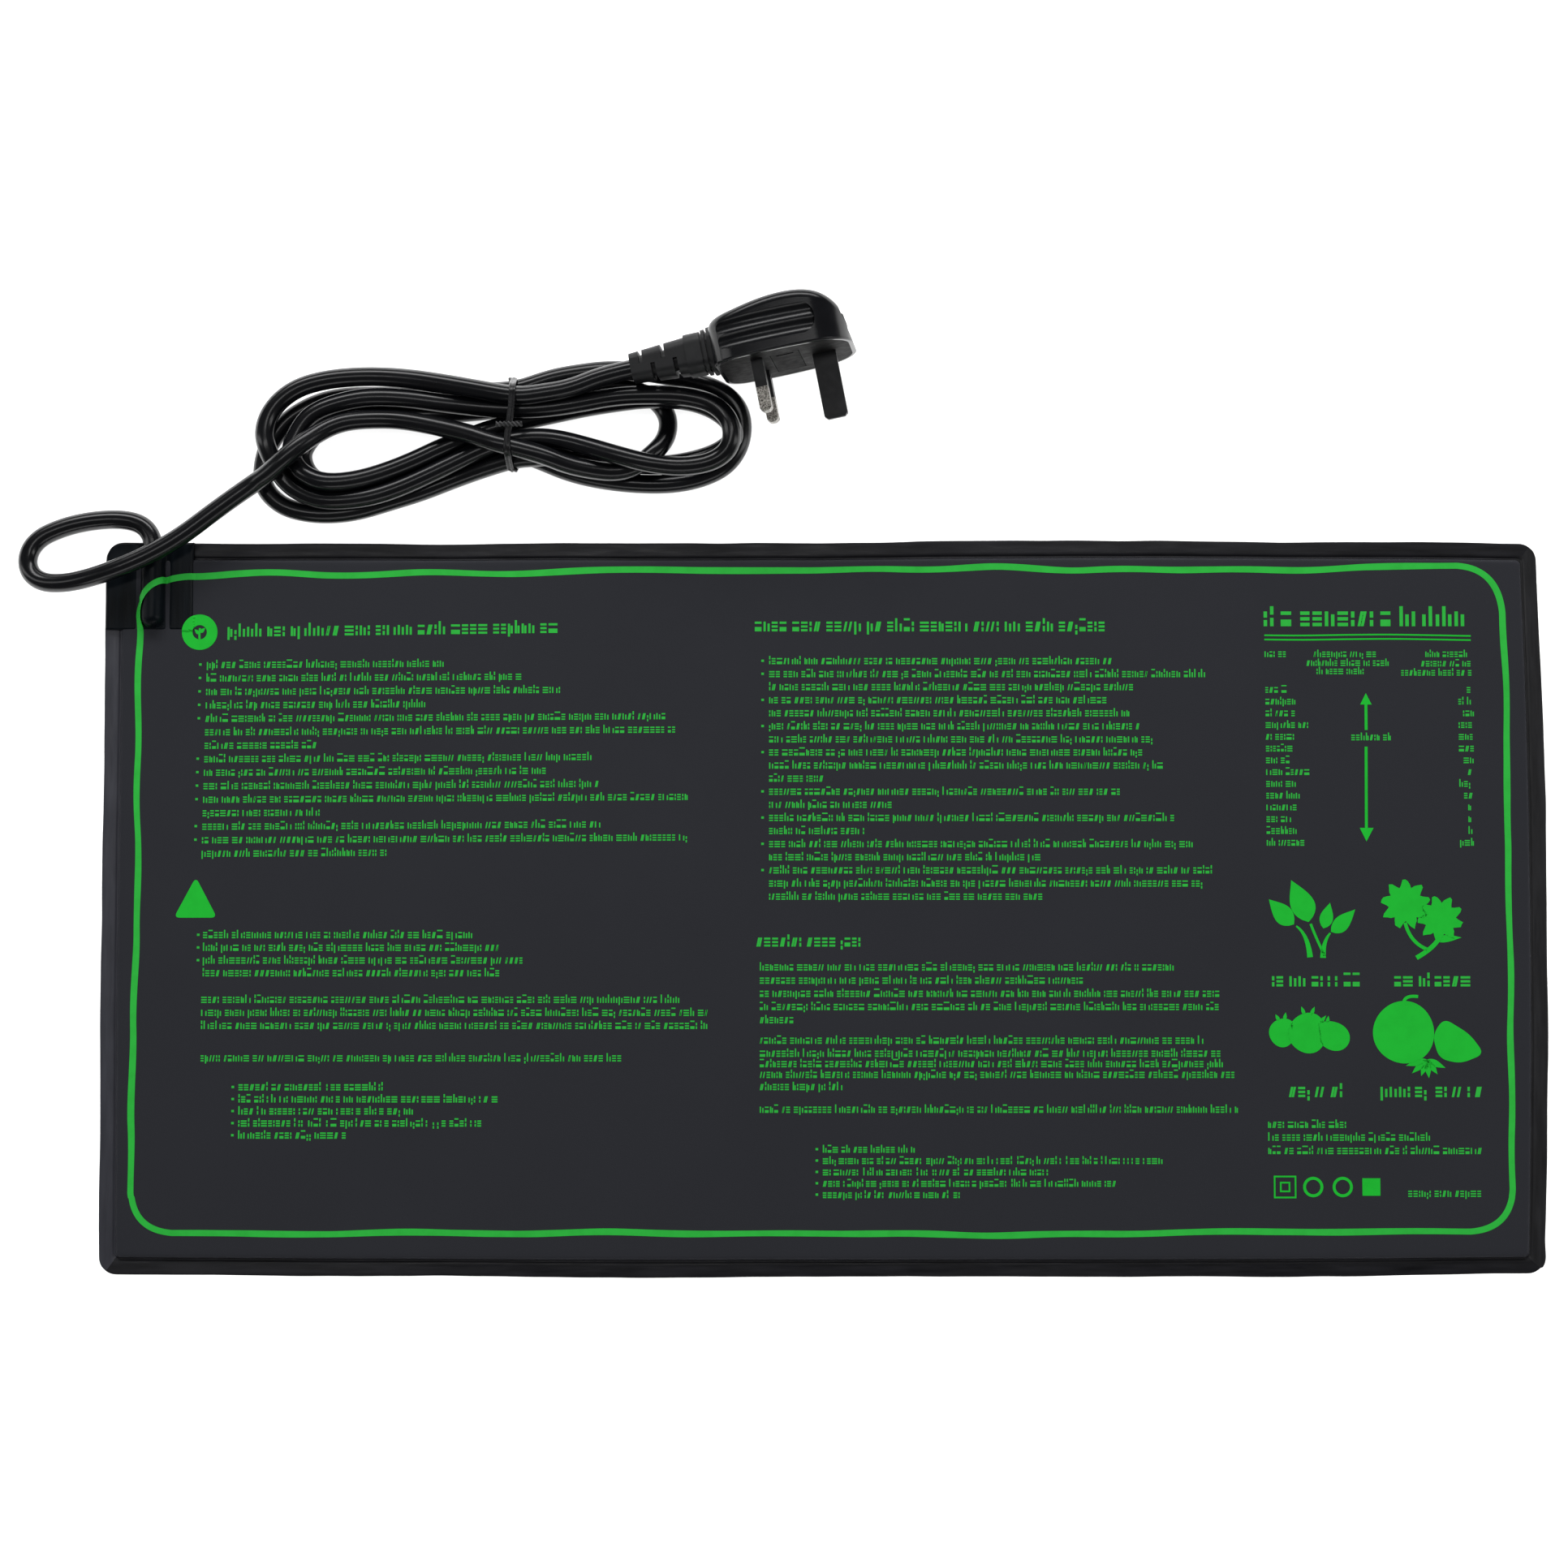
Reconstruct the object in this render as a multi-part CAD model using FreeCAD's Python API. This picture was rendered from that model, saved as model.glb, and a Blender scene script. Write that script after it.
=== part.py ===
import FreeCAD, Part

# Seedling heat mat: a thin welded PVC mat with a heating wire inside, its mains cord
# wound into a tied hank, and a moulded three-pin 13 A plug lying on its side.
#
# Millimetres, +Z up. Origin: centre of the mat's footprint, on the surface it lies on.
# +X runs along the mat's long side, +Y points to the side that the cord leaves by.
# The plug is built in its own axes: X from the cord end to the earth pin, Y from the
# pin face to the back of the plug, Z across it. PLUG_PLACE sets it down on the surface.

import math
import os

from FreeCAD import Placement, Rotation, Vector

# ---- the mat ----
MAT_LENGTH = 500.0
MAT_WIDTH = 254.0
MAT_CORNER = 6.0
RIM = 5.8                 # width of the welded flange
COVER = 0.5               # PVC film of both covers
PAD = 1.4                 # foam under the heating wire
FOIL = 0.3
PANEL_CORNER = 2.0
STACK_GAP = 0.6           # free edge between the flange wall and the layers inside

PAD_TOP = COVER + PAD
FOIL_TOP = PAD_TOP + FOIL
PANEL_TOP = FOIL_TOP + COVER

# ---- the heating wire ----
WIRE = 0.9
GROOVE = 1.1
GROOVE_FLOOR = 0.9
WIRE_Z = 1.4
RUN_PITCH = 12.0
RUNS = 20
FIRST_RUN_Y = 112.0
RUN_RIGHT = 236.0
RUN_LEFT = -226.0
RETURN_X = -239.0

# ---- the cord ----
CORD = 6.6
CORE = 2.2                # one insulated conductor
CORE_SPREAD = 1.5         # each conductor's offset from the cord's axis

# ---- the cord's entry into the mat ----
ENTRY_X = -233.4
ENTRY_Z = COVER + CORD / 2
PATCH = 30.5              # side of the square moulded patch
PATCH_TOP = 2.9
RIB = 4.0                 # outer radius of the patch over the cord
RIB_END_Y = 100.9
MOUTH_Y = 123.5           # where the cord comes out of the patch
MOUTH_WIDTH = 12.0
SHEATH_END_Y = 113.5
SPLICE = 2.8
SPLICE_TOP_Y = 108.5
SPLICE_END_Y = 101.3
FERRULE_Y = 115.5
FERRULE_LENGTH = 4.0
FERRULE_BORE = 5.8

# ---- the hank ----
HANK_LEFT = 16.0          # height of the turns left of the tie
HANK_WAIST = 20.0
HANK_RIGHT = 12.4
WAIST_RIGHT_X = -98.0
WAIST_LEFT_X = -118.0
TIE_X = -107.5
TIE_WIDTH = 2.2
TIE_THICK = 1.1
TIE_SINK = 0.4            # how far it presses into the turns
TIE_Y = (151.6, 182.8)
FEED_IN = Vector(-197.0, 146.4, 11.5)      # where the cord from the mat joins the turns
FEED_ANGLE = 35.2
LEAD_OUT = Vector(WAIST_RIGHT_X, 178.8, 16.0)

# ---- the plug ----
PLUG_TURN = 11.0          # its long axis against the mat's long side
PLUG_TILT = 6.0           # it rocks on its rounded side
PLUG_AT = (-21.1, 184.6)
SIDE_RADIUS = 75.0
HALF_WIDTH = 24.0
SIDE_CENTRE_X = 6.0
CORD_END_X = -14.2
EARTH_END_X = 33.0
CORD_CORNER = 9.0
EARTH_CORNER = 15.0
BACK = ((-14.2, 15.2), (0.0, 17.8), (13.0, 19.2), (24.0, 17.4), (30.4, 11.8))
EARTH_END_BACK = (33.0, -0.1)
FACE_ROUND = 0.8
BACK_ROUND = 3.4
CORD_AXIS_Y = 8.7
SKIN = 1.6                # plug body around its inner block
SCOOP_Y = (6.2, 11.2)     # the two scoops of the finger recess
SCOOP_RADIUS = 3.6
SCOOP_DEPTH = 1.25
INSERT_DEPTH = 9.8
CHAMBER = (-13.0, 16.0)   # wiring space behind the inner block
CHAMBER_Y = (7.5, 13.7)
CORE_Y = 11.9

PIN_SPACING = 22.23       # line pin to neutral pin, and earth pin to their line
PIN_THICK = 3.95
PIN_WIDE = 6.35
PIN_LENGTH = 17.7
SLEEVE_LENGTH = 9.5
SLEEVE_WALL = 0.68
EARTH_WIDE = 8.05
EARTH_LENGTH = 22.7
TIP_CHAMFER = 1.1

FUSE_X = 9.6
FUSE_Y = 5.4
FUSE = 6.35
FUSE_LENGTH = 25.4
FUSE_TUBE = 6.0
FUSE_CAP = 6.0
CARRIER = (9.6, 9.2, 28.0)
CARRIER_GAP = 0.2
CARRIER_FRONT = 1.7
JAW_Z = (9.0, 12.5)

RELIEF = (-43.7, -24.0)   # segmented part of the cord's strain relief
RELIEF_SMALL = 9.8
RELIEF_LARGE = 12.6
BLOCK_END_X = -18.5
BLOCK = 14.0
SLOT = 1.5


# ---- shapes that repeat ----

def box(x, y, z):
    """A block between two limits along each axis."""
    return Part.makeBox(x[1] - x[0], y[1] - y[0], z[1] - z[0], Vector(x[0], y[0], z[0]))


def rod(start, end, diameter):
    """A round bar from one point to another."""
    along = end.sub(start)
    return Part.makeCylinder(diameter / 2, along.Length, start, along)


def corner_wire(corners, radii):
    """A closed wire through corners in one plane, each rounded by its own radius."""
    edges = []
    ends = []
    count = len(corners)
    for i in range(count):
        before, here, after = corners[i - 1], corners[i], corners[(i + 1) % count]
        inward = before.sub(here).normalize()
        outward = after.sub(here).normalize()
        half = (math.pi - inward.getAngle(outward)) / 2
        if radii[i] <= 0:
            ends.append((here, here, None))
            continue
        setback = radii[i] * math.tan(half)
        rise = radii[i] / math.cos(half) - radii[i]
        middle = here.add(inward.add(outward).normalize().multiply(rise))
        first = here.add(inward.multiply(setback))
        last = here.add(outward.multiply(setback))
        ends.append((first, last, middle))
    for i in range(count):
        first, last, middle = ends[i]
        if middle is not None:
            edges.append(Part.Arc(first, middle, last).toShape())
        following = ends[(i + 1) % count][0]
        if last.distanceToPoint(following) > 1e-6:
            edges.append(Part.LineSegment(last, following).toShape())
    return Part.Wire(edges)


def slab(x, y, z, radii):
    """A flat plate with four corner radii: low-low, high-low, high-high, low-high."""
    corners = [
        Vector(x[0], y[0], z[0]),
        Vector(x[1], y[0], z[0]),
        Vector(x[1], y[1], z[0]),
        Vector(x[0], y[1], z[0]),
    ]
    face = Part.Face(corner_wire(corners, radii))
    return face.extrude(Vector(0, 0, z[1] - z[0]))


def mat_plate(inset, z, radius):
    """A plate with the mat's outline, drawn in by inset."""
    half_x = MAT_LENGTH / 2 - inset
    half_y = MAT_WIDTH / 2 - inset
    return slab((-half_x, half_x), (-half_y, half_y), z, [radius] * 4)


def route(points, radii=None):
    """Straight runs joined by tangent arcs. Without radii, each arc is as large as
    its two runs allow. Returns the edges and the radii used."""
    edges = []
    used = []
    reached = points[0]
    for i in range(1, len(points) - 1):
        here = points[i]
        inward = points[i - 1].sub(here)
        outward = points[i + 1].sub(here)
        shorter = min(inward.Length, outward.Length)
        inward.normalize()
        outward.normalize()
        half = (math.pi - inward.getAngle(outward)) / 2
        radius = radii[i - 1] if radii else 0.45 * shorter / math.tan(half)
        used.append(radius)
        setback = radius * math.tan(half)
        rise = radius / math.cos(half) - radius
        middle = here.add(inward.add(outward).normalize().multiply(rise))
        first = here.add(inward.multiply(setback))
        last = here.add(outward.multiply(setback))
        if reached.distanceToPoint(first) > 1e-6:
            edges.append(Part.LineSegment(reached, first).toShape())
        edges.append(Part.Arc(first, middle, last).toShape())
        reached = last
    edges.append(Part.LineSegment(reached, points[-1]).toShape())
    return edges, used


def tube(name, points, diameter, radii=None):
    """A round tube along a route. Prints its volume against section times length."""
    edges, used = route(points, radii)
    path = Part.Wire(edges)
    ring = Part.makeCircle(diameter / 2, points[0], points[1].sub(points[0]))
    solid = path.makePipeShell([Part.Wire([ring])], True, True)
    expected = math.pi * diameter ** 2 / 4 * path.Length
    print(f"{name}: length {path.Length:.1f}, volume / expected {solid.Volume / expected:.4f}")
    if radii is None:
        print("   arc radii:", ", ".join(f"{radius:.1f}" for radius in used))
    return solid


# ---- the mat's layers ----

def entry_notch(gap):
    """The corner that the moulded patch takes from the layers."""
    return box(
        (-MAT_LENGTH, PATCH - MAT_LENGTH / 2 + gap),
        (MAT_WIDTH / 2 - PATCH - gap, MAT_WIDTH),
        (-1.0, 2 * PATCH_TOP),
    )


def bottom_cover():
    return mat_plate(0.0, (0.0, COVER), MAT_CORNER)


def top_cover():
    flange = mat_plate(0.0, (COVER, 2 * COVER), MAT_CORNER)
    panel = mat_plate(RIM, (COVER, PANEL_TOP), PANEL_CORNER)
    edges = [edge for edge in panel.Edges if edge.BoundBox.ZMin > PANEL_TOP - 0.01]
    panel = panel.makeFillet(0.8 * COVER, edges)
    inside = mat_plate(RIM + COVER, (0.0, FOIL_TOP), PANEL_CORNER - COVER)
    return flange.fuse(panel).cut(inside).cut(entry_notch(0.0)).removeSplitter()


def wire_points():
    """The heating wire's path, from one splice round the mat and back to the other."""
    x_in = ENTRY_X + CORE_SPREAD
    x_out = ENTRY_X - CORE_SPREAD
    feed_x = ENTRY_X + 21.0
    feed_y = 91.0
    sharp = 1.0
    turn = RUN_PITCH / 2
    points = [
        (x_in, SPLICE_END_Y + 2.0, ENTRY_Z, 0),
        (x_in, SPLICE_END_Y - 0.7, ENTRY_Z, sharp),
        (x_in, SPLICE_END_Y - 2.7, WIRE_Z, sharp),
        (x_in, feed_y, WIRE_Z, 2.0),
        (feed_x, feed_y, WIRE_Z, turn),
        (feed_x, FIRST_RUN_Y, WIRE_Z, turn),
    ]
    for run in range(RUNS):
        y = FIRST_RUN_Y - run * RUN_PITCH
        left = feed_x + 12.0 if run < 3 else RUN_LEFT
        if run == RUNS - 1:
            left = RETURN_X
        ends = (left, RUN_RIGHT) if run % 2 == 0 else (RUN_RIGHT, left)
        if run > 0:
            points.append((ends[0], y, WIRE_Z, turn))
        points.append((ends[1], y, WIRE_Z, turn))
    points += [
        (RETURN_X, feed_y + 1.0, WIRE_Z, 1.5),
        (x_out, feed_y + 1.0, WIRE_Z, 1.5),
        (x_out, SPLICE_END_Y - 2.7, WIRE_Z, sharp),
        (x_out, SPLICE_END_Y - 0.7, ENTRY_Z, sharp),
        (x_out, SPLICE_END_Y + 2.0, ENTRY_Z, 0),
    ]
    return points


def heating_wire():
    points = wire_points()
    path = [Vector(*point[:3]) for point in points]
    return tube("heating_wire", path, WIRE, [point[3] for point in points[1:-1]])


def insulation_pad():
    """Foam with a groove that the wire lies in."""
    sheet = mat_plate(RIM + STACK_GAP, (COVER, PAD_TOP), PANEL_CORNER)
    flat = [point for point in wire_points() if point[2] == WIRE_Z]
    path = [Vector(x, y, GROOVE_FLOOR) for x, y, z, radius in flat]
    edges, used = route(path, [point[3] for point in flat[1:-1]])
    half = GROOVE / 2
    section = Part.makePolygon([
        path[0].add(Vector(-half, 0, 0)),
        path[0].add(Vector(half, 0, 0)),
        path[0].add(Vector(half, 0, PAD)),
        path[0].add(Vector(-half, 0, PAD)),
        path[0].add(Vector(-half, 0, 0)),
    ])
    groove = Part.Wire(edges).makePipeShell([section], True, False, 2)
    print(f"groove: valid {groove.isValid()}, volume {groove.Volume:.0f},"
          f" expected {Part.Wire(edges).Length * GROOVE * PAD:.0f}")
    return sheet.cut(entry_notch(0.5)).cut(groove)


def heat_spreader_foil():
    sheet = mat_plate(RIM + STACK_GAP, (PAD_TOP, FOIL_TOP), PANEL_CORNER)
    return sheet.cut(entry_notch(0.5))


# ---- the cord's entry ----

def entry_patch():
    """The moulded corner patch: a plate, a rounded rib over the cord and its bore."""
    x = (-MAT_LENGTH / 2, PATCH - MAT_LENGTH / 2)
    y = (MAT_WIDTH / 2 - PATCH, MAT_WIDTH / 2)
    plate = slab(x, y, (COVER, PATCH_TOP), [0.0, 0.0, 0.0, MAT_CORNER])
    rib = Part.makeCylinder(RIB, MAT_WIDTH / 2 - RIB_END_Y, Vector(ENTRY_X, RIB_END_Y, ENTRY_Z),
                            Vector(0, 1, 0))
    dome = Part.makeSphere(RIB, Vector(ENTRY_X, RIB_END_Y, ENTRY_Z))
    below = box((-MAT_LENGTH, MAT_LENGTH), (0, MAT_WIDTH), (-RIB, COVER))
    solid = plate.fuse([rib, dome]).cut(below)
    bore = rod(Vector(ENTRY_X, SPLICE_END_Y, ENTRY_Z), Vector(ENTRY_X, MAT_WIDTH, ENTRY_Z), CORD)
    mouth = box((ENTRY_X - MOUTH_WIDTH / 2, ENTRY_X + MOUTH_WIDTH / 2),
                (MOUTH_Y, MAT_WIDTH), (0, 4 * RIB))
    slot = CORE_SPREAD + 0.7
    ramp = box((ENTRY_X - slot, ENTRY_X + slot), (98.0, SPLICE_END_Y + 0.1),
               (GROOVE_FLOOR, ENTRY_Z + 0.6))
    outlet = box((ENTRY_X - slot, ENTRY_X + slot), (y[0] - 1.0, 98.1),
                 (GROOVE_FLOOR, FOIL_TOP))
    return solid.cut([bore, mouth, ramp, outlet])


def core_line(side, y_from, y_to, diameter):
    """A bar along Y on the axis of one conductor at the mat's end of the cord."""
    x = ENTRY_X + side * CORE_SPREAD
    return rod(Vector(x, y_from, ENTRY_Z), Vector(x, y_to, ENTRY_Z), diameter)


def ferrule_ring(outer):
    """A bar of the ferrule's length on the cord's axis."""
    return rod(Vector(ENTRY_X, FERRULE_Y, ENTRY_Z),
               Vector(ENTRY_X, FERRULE_Y + FERRULE_LENGTH, ENTRY_Z), outer)


def mat_end_sheath():
    """The last of the cord's sheath, inside the patch, with its two conductors' bores."""
    sheath = rod(Vector(ENTRY_X, SHEATH_END_Y, ENTRY_Z), Vector(ENTRY_X, MOUTH_Y, ENTRY_Z), CORD)
    waist = ferrule_ring(CORD + 1).cut(ferrule_ring(FERRULE_BORE))
    bores = [core_line(side, SHEATH_END_Y - 1, MOUTH_Y - 2.5, CORE) for side in (1, -1)]
    return sheath.cut([waist] + bores)


def cord_ferrule():
    return ferrule_ring(CORD).cut(ferrule_ring(FERRULE_BORE))


def mat_core(side):
    return core_line(side, SPLICE_TOP_Y - 1.5, MOUTH_Y - 2.5, CORE)


def splice(side):
    sleeve = core_line(side, SPLICE_END_Y, SPLICE_TOP_Y, SPLICE)
    core_bore = core_line(side, SPLICE_TOP_Y - 1.5, SPLICE_TOP_Y + 1, CORE)
    wire_bore = core_line(side, SPLICE_END_Y - 1, SPLICE_END_Y + 2.0, WIRE)
    return sleeve.cut([core_bore, wire_bore])


# ---- the free cord ----

def feed_direction():
    angle = math.radians(FEED_ANGLE)
    return Vector(math.cos(angle), math.sin(angle), 0)


def power_cord():
    """From the patch, round a small raised loop, over the mat's corner to the hank."""
    points = [
        Vector(ENTRY_X, MOUTH_Y, ENTRY_Z),
        Vector(ENTRY_X, 127.0, ENTRY_Z),
        Vector(-234.7, 130.4, 3.8),
        Vector(-237.2, 133.0, 3.9),
        Vector(-241.1, 134.6, 4.0),
        Vector(-247.1, 135.2, 4.2),
        Vector(-255.0, 134.6, 4.6),
        Vector(-262.8, 133.0, 5.2),
        Vector(-269.6, 130.4, 6.0),
        Vector(-273.2, 128.2, 6.8),
        Vector(-275.7, 125.3, 7.8),
        Vector(-276.9, 122.0, 8.9),
        Vector(-276.8, 118.5, 10.1),
        Vector(-275.2, 115.4, 11.4),
        Vector(-272.4, 113.3, 12.6),
        Vector(-268.2, 112.1, 14.0),
        Vector(-260.8, 112.2, 15.8),
        Vector(-252.0, 114.1, 17.3),
        Vector(-243.0, 117.1, 18.0),
        Vector(-233.0, 121.4, 18.0),
        Vector(-222.0, 127.8, 15.8),
        FEED_IN.sub(feed_direction().multiply(13.5)),
        FEED_IN,
    ]
    return tube("power_cord", points, CORD)


def hank_outline(points):
    """A closed smooth outline through its points."""
    curve = Part.BSplineCurve()
    curve.interpolate(Points=points, PeriodicFlag=False)
    return curve.toShape()


def cord_hank():
    """The outer shape of the tied turns: two lobes and a higher waist."""
    along = feed_direction()
    half_facet = Vector(-along.y, along.x, 0).multiply(4.6)
    foot = Vector(FEED_IN.x, FEED_IN.y, 0)
    facet_high = foot.add(half_facet)
    facet_low = foot.sub(half_facet)
    top_left = [Vector(WAIST_LEFT_X, 183.0, 0), Vector(-140.0, 186.4, 0),
                Vector(-163.0, 188.0, 0), Vector(-184.0, 183.6, 0),
                Vector(-196.0, 172.0, 0), facet_high]
    low_left = [facet_low, Vector(-187.0, 137.6, 0), Vector(-172.0, 133.8, 0),
                Vector(-151.0, 138.4, 0), Vector(-131.0, 146.6, 0),
                Vector(WAIST_LEFT_X, 151.0, 0)]
    left = Part.Face(Part.Wire([
        hank_outline(top_left),
        Part.LineSegment(facet_high, facet_low).toShape(),
        hank_outline(low_left),
        Part.LineSegment(low_left[-1], top_left[0]).toShape(),
    ])).extrude(Vector(0, 0, HANK_LEFT))
    round_right = [Vector(WAIST_RIGHT_X, 152.0, 0), Vector(-84.0, 149.4, 0),
                   Vector(-68.0, 145.8, 0), Vector(-52.0, 144.8, 0),
                   Vector(-36.0, 149.6, 0), Vector(-26.6, 159.0, 0),
                   Vector(-24.6, 169.0, 0), Vector(-31.0, 177.6, 0),
                   Vector(-44.0, 183.8, 0), Vector(-60.0, 188.6, 0),
                   Vector(-78.0, 189.8, 0), Vector(WAIST_RIGHT_X, 186.4, 0)]
    right = Part.Face(Part.Wire([
        hank_outline(round_right),
        Part.LineSegment(round_right[-1], round_right[0]).toShape(),
    ])).extrude(Vector(0, 0, HANK_RIGHT))
    waist = box((WAIST_LEFT_X, WAIST_RIGHT_X), (152.0, 182.6), (0, HANK_WAIST))
    whole = waist.fuse([left, right])
    return whole.cut(tie_slice().cut(tie_core())).removeSplitter()


def tie_slice():
    """The tie's width, out past the waist on every side."""
    return box((TIE_X - TIE_WIDTH / 2, TIE_X + TIE_WIDTH / 2),
               (TIE_Y[0] - 10, TIE_Y[1] + 10), (-10, HANK_WAIST + 10))


def tie_core():
    """What the tie goes round."""
    return box((TIE_X - TIE_WIDTH, TIE_X + TIE_WIDTH),
               (TIE_Y[0] + TIE_THICK, TIE_Y[1] - TIE_THICK),
               (TIE_THICK, HANK_WAIST - TIE_SINK))


def cord_tie():
    """A band round the waist of the hank."""
    band = box((TIE_X - TIE_WIDTH / 2, TIE_X + TIE_WIDTH / 2), TIE_Y,
               (0, HANK_WAIST - TIE_SINK + TIE_THICK))
    edges = [edge for edge in band.Edges if edge.BoundBox.XLength > TIE_WIDTH - 0.01]
    return band.makeFillet(2.0, edges).cut(tie_core())


# ---- the plug, in its own axes ----

def plug_place():
    """Where the plug's axes stand in the mat's axes."""
    tilt = math.radians(PLUG_TILT)
    drop = SIDE_RADIUS - HALF_WIDTH
    height = SIDE_RADIUS - SIDE_CENTRE_X * math.sin(tilt) - drop * math.cos(tilt)
    turn = Rotation(Vector(0, 0, 1), PLUG_TURN).multiply(Rotation(Vector(0, 1, 0), -PLUG_TILT))
    return Placement(Vector(PLUG_AT[0], PLUG_AT[1], height), turn)


PLUG_PLACE = plug_place()


def plug_outline(inset):
    """The plug seen from its pins: two bowed sides, tight corners at the cord end and
    wide ones at the earth end. Drawn in by inset."""
    radius = SIDE_RADIUS - inset
    low_x = CORD_END_X + inset
    high_x = EARTH_END_X - inset
    centre_z = SIDE_RADIUS - HALF_WIDTH

    def bow(x):
        return math.sqrt(radius ** 2 - (x - SIDE_CENTRE_X) ** 2) - centre_z

    return Part.Face(Part.Wire([
        Part.Arc(Vector(low_x, 0, -bow(low_x)), Vector(SIDE_CENTRE_X, 0, -bow(SIDE_CENTRE_X)),
                 Vector(high_x, 0, -bow(high_x))).toShape(),
        Part.LineSegment(Vector(high_x, 0, -bow(high_x)), Vector(high_x, 0, bow(high_x))).toShape(),
        Part.Arc(Vector(high_x, 0, bow(high_x)), Vector(SIDE_CENTRE_X, 0, bow(SIDE_CENTRE_X)),
                 Vector(low_x, 0, bow(low_x))).toShape(),
        Part.LineSegment(Vector(low_x, 0, bow(low_x)), Vector(low_x, 0, -bow(low_x))).toShape(),
    ]))


def plug_prism(inset, y_to):
    """The plug's outline pushed back from the pin face, with its corners rounded."""
    block = plug_outline(inset).extrude(Vector(0, y_to, 0))
    upright = [edge for edge in block.Edges if edge.BoundBox.YLength > y_to - 0.01]
    earth = [edge for edge in upright if edge.BoundBox.XMin > EARTH_END_X - inset - 0.01]
    block = block.makeFillet(EARTH_CORNER - inset, earth)
    upright = [edge for edge in block.Edges if edge.BoundBox.YLength > y_to - 0.01]
    cord = [edge for edge in upright if edge.BoundBox.XMax < CORD_END_X + inset + 0.01]
    return block.makeFillet(CORD_CORNER - inset, cord)


def plug_profile():
    """The plug seen from its side: a flat pin face and a humped back."""
    back = Part.BSplineCurve()
    back.interpolate(Points=[Vector(x, y, 0) for x, y in BACK])
    first = Vector(BACK[0][0], BACK[0][1], 0)
    last = Vector(BACK[-1][0], BACK[-1][1], 0)
    end = Vector(EARTH_END_BACK[0], EARTH_END_BACK[1], 0)
    start = Vector(CORD_END_X, 0, 0)
    face = Part.Face(Part.Wire([
        back.toShape(),
        Part.LineSegment(last, end).toShape(),
        Part.LineSegment(end, start).toShape(),
        Part.LineSegment(start, first).toShape(),
    ]))
    face.translate(Vector(0, 0, -SIDE_RADIUS))
    return face.extrude(Vector(0, 0, 2 * SIDE_RADIUS))


def grip_recess():
    """The finger recess in both sides of the plug: two long scoops that meet in a low ridge."""
    outline = Part.Face(corner_wire(
        [Vector(-11.0, 3.4, 0), Vector(22.4, 3.4, 0), Vector(22.4, 14.6, 0), Vector(-11.0, 13.2, 0)],
        [2.5, 5.2, 5.2, 2.5]))
    outline.translate(Vector(0, 0, -SIDE_RADIUS))
    through = outline.extrude(Vector(0, 0, 2 * SIDE_RADIUS))
    drop = SIDE_RADIUS - HALF_WIDTH
    scoops = [Part.makeTorus(SIDE_RADIUS + SCOOP_RADIUS - SCOOP_DEPTH, SCOOP_RADIUS,
                             Vector(SIDE_CENTRE_X, y, side * drop), Vector(0, 1, 0))
              for y in SCOOP_Y for side in (1, -1)]
    return [through.common(scoop) for scoop in scoops]


def plug_body():
    """The soft moulded outer of the plug."""
    block = plug_prism(0.0, 24.0)
    front = [edge for edge in block.Edges if edge.BoundBox.YMax < 0.01]
    solid = block.makeFillet(FACE_ROUND, front).common(plug_profile())
    rim = [edge for edge in solid.Edges
           if edge.BoundBox.YMin > 5.0 and edge.BoundBox.ZLength + edge.BoundBox.XLength > 4.0]
    solid = solid.makeFillet(BACK_ROUND, rim)
    chamber = box(CHAMBER, CHAMBER_Y, (-13.5, 13.5))
    bore = rod(Vector(CORD_END_X - 1, CORD_AXIS_Y, 0), Vector(0, CORD_AXIS_Y, 0), CORD)
    return solid.cut(grip_recess() + [plug_prism(SKIN, INSERT_DEPTH), chamber, bore])


def pin_bar(z, x_half, z_half, y):
    """A rectangular bar along a pin's axis."""
    return box((-x_half, x_half), y, (z - z_half, z + z_half))


def carrier_room(gap):
    """The space of the fuse carrier, grown by a gap on its four sides."""
    half_x = CARRIER[0] / 2 + gap
    half_z = CARRIER[2] / 2 + gap
    return box((FUSE_X - half_x, FUSE_X + half_x), (-1.0, INSERT_DEPTH + 1.0), (-half_z, half_z))


def plug_insert():
    """The hard inner block whose face holds the three pins and the fuse carrier."""
    block = plug_prism(SKIN, INSERT_DEPTH)
    holes = [pin_bar(side * PIN_SPACING / 2, PIN_THICK / 2, PIN_WIDE / 2, (-1, INSERT_DEPTH + 1))
             for side in (1, -1)]
    holes.append(box((PIN_SPACING - EARTH_WIDE / 2, PIN_SPACING + EARTH_WIDE / 2), (-1, 6.0),
                     (-PIN_THICK / 2, PIN_THICK / 2)))
    holes.append(carrier_room(CARRIER_GAP))
    ramp = box((CORD_END_X, -6.0), (CORD_AXIS_Y - CORD / 2, INSERT_DEPTH + 1), (-4.0, 4.0))
    return block.cut(holes).cut(ramp)


def power_pin(side):
    """A brass pin with a waist for its sleeve and a chamfered tip."""
    z = side * PIN_SPACING / 2
    half_x = PIN_THICK / 2
    half_z = PIN_WIDE / 2
    tip = pin_bar(z, half_x, half_z, (-PIN_LENGTH, -SLEEVE_LENGTH))
    ends = [edge for edge in tip.Edges if edge.BoundBox.YMax < -PIN_LENGTH + 0.01]
    tip = tip.makeChamfer(TIP_CHAMFER, ends)
    waist = pin_bar(z, half_x - SLEEVE_WALL, half_z - SLEEVE_WALL, (-SLEEVE_LENGTH, 0))
    shank = pin_bar(z, half_x, half_z, (0, INSERT_DEPTH))
    return tip.fuse([waist, shank])


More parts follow.
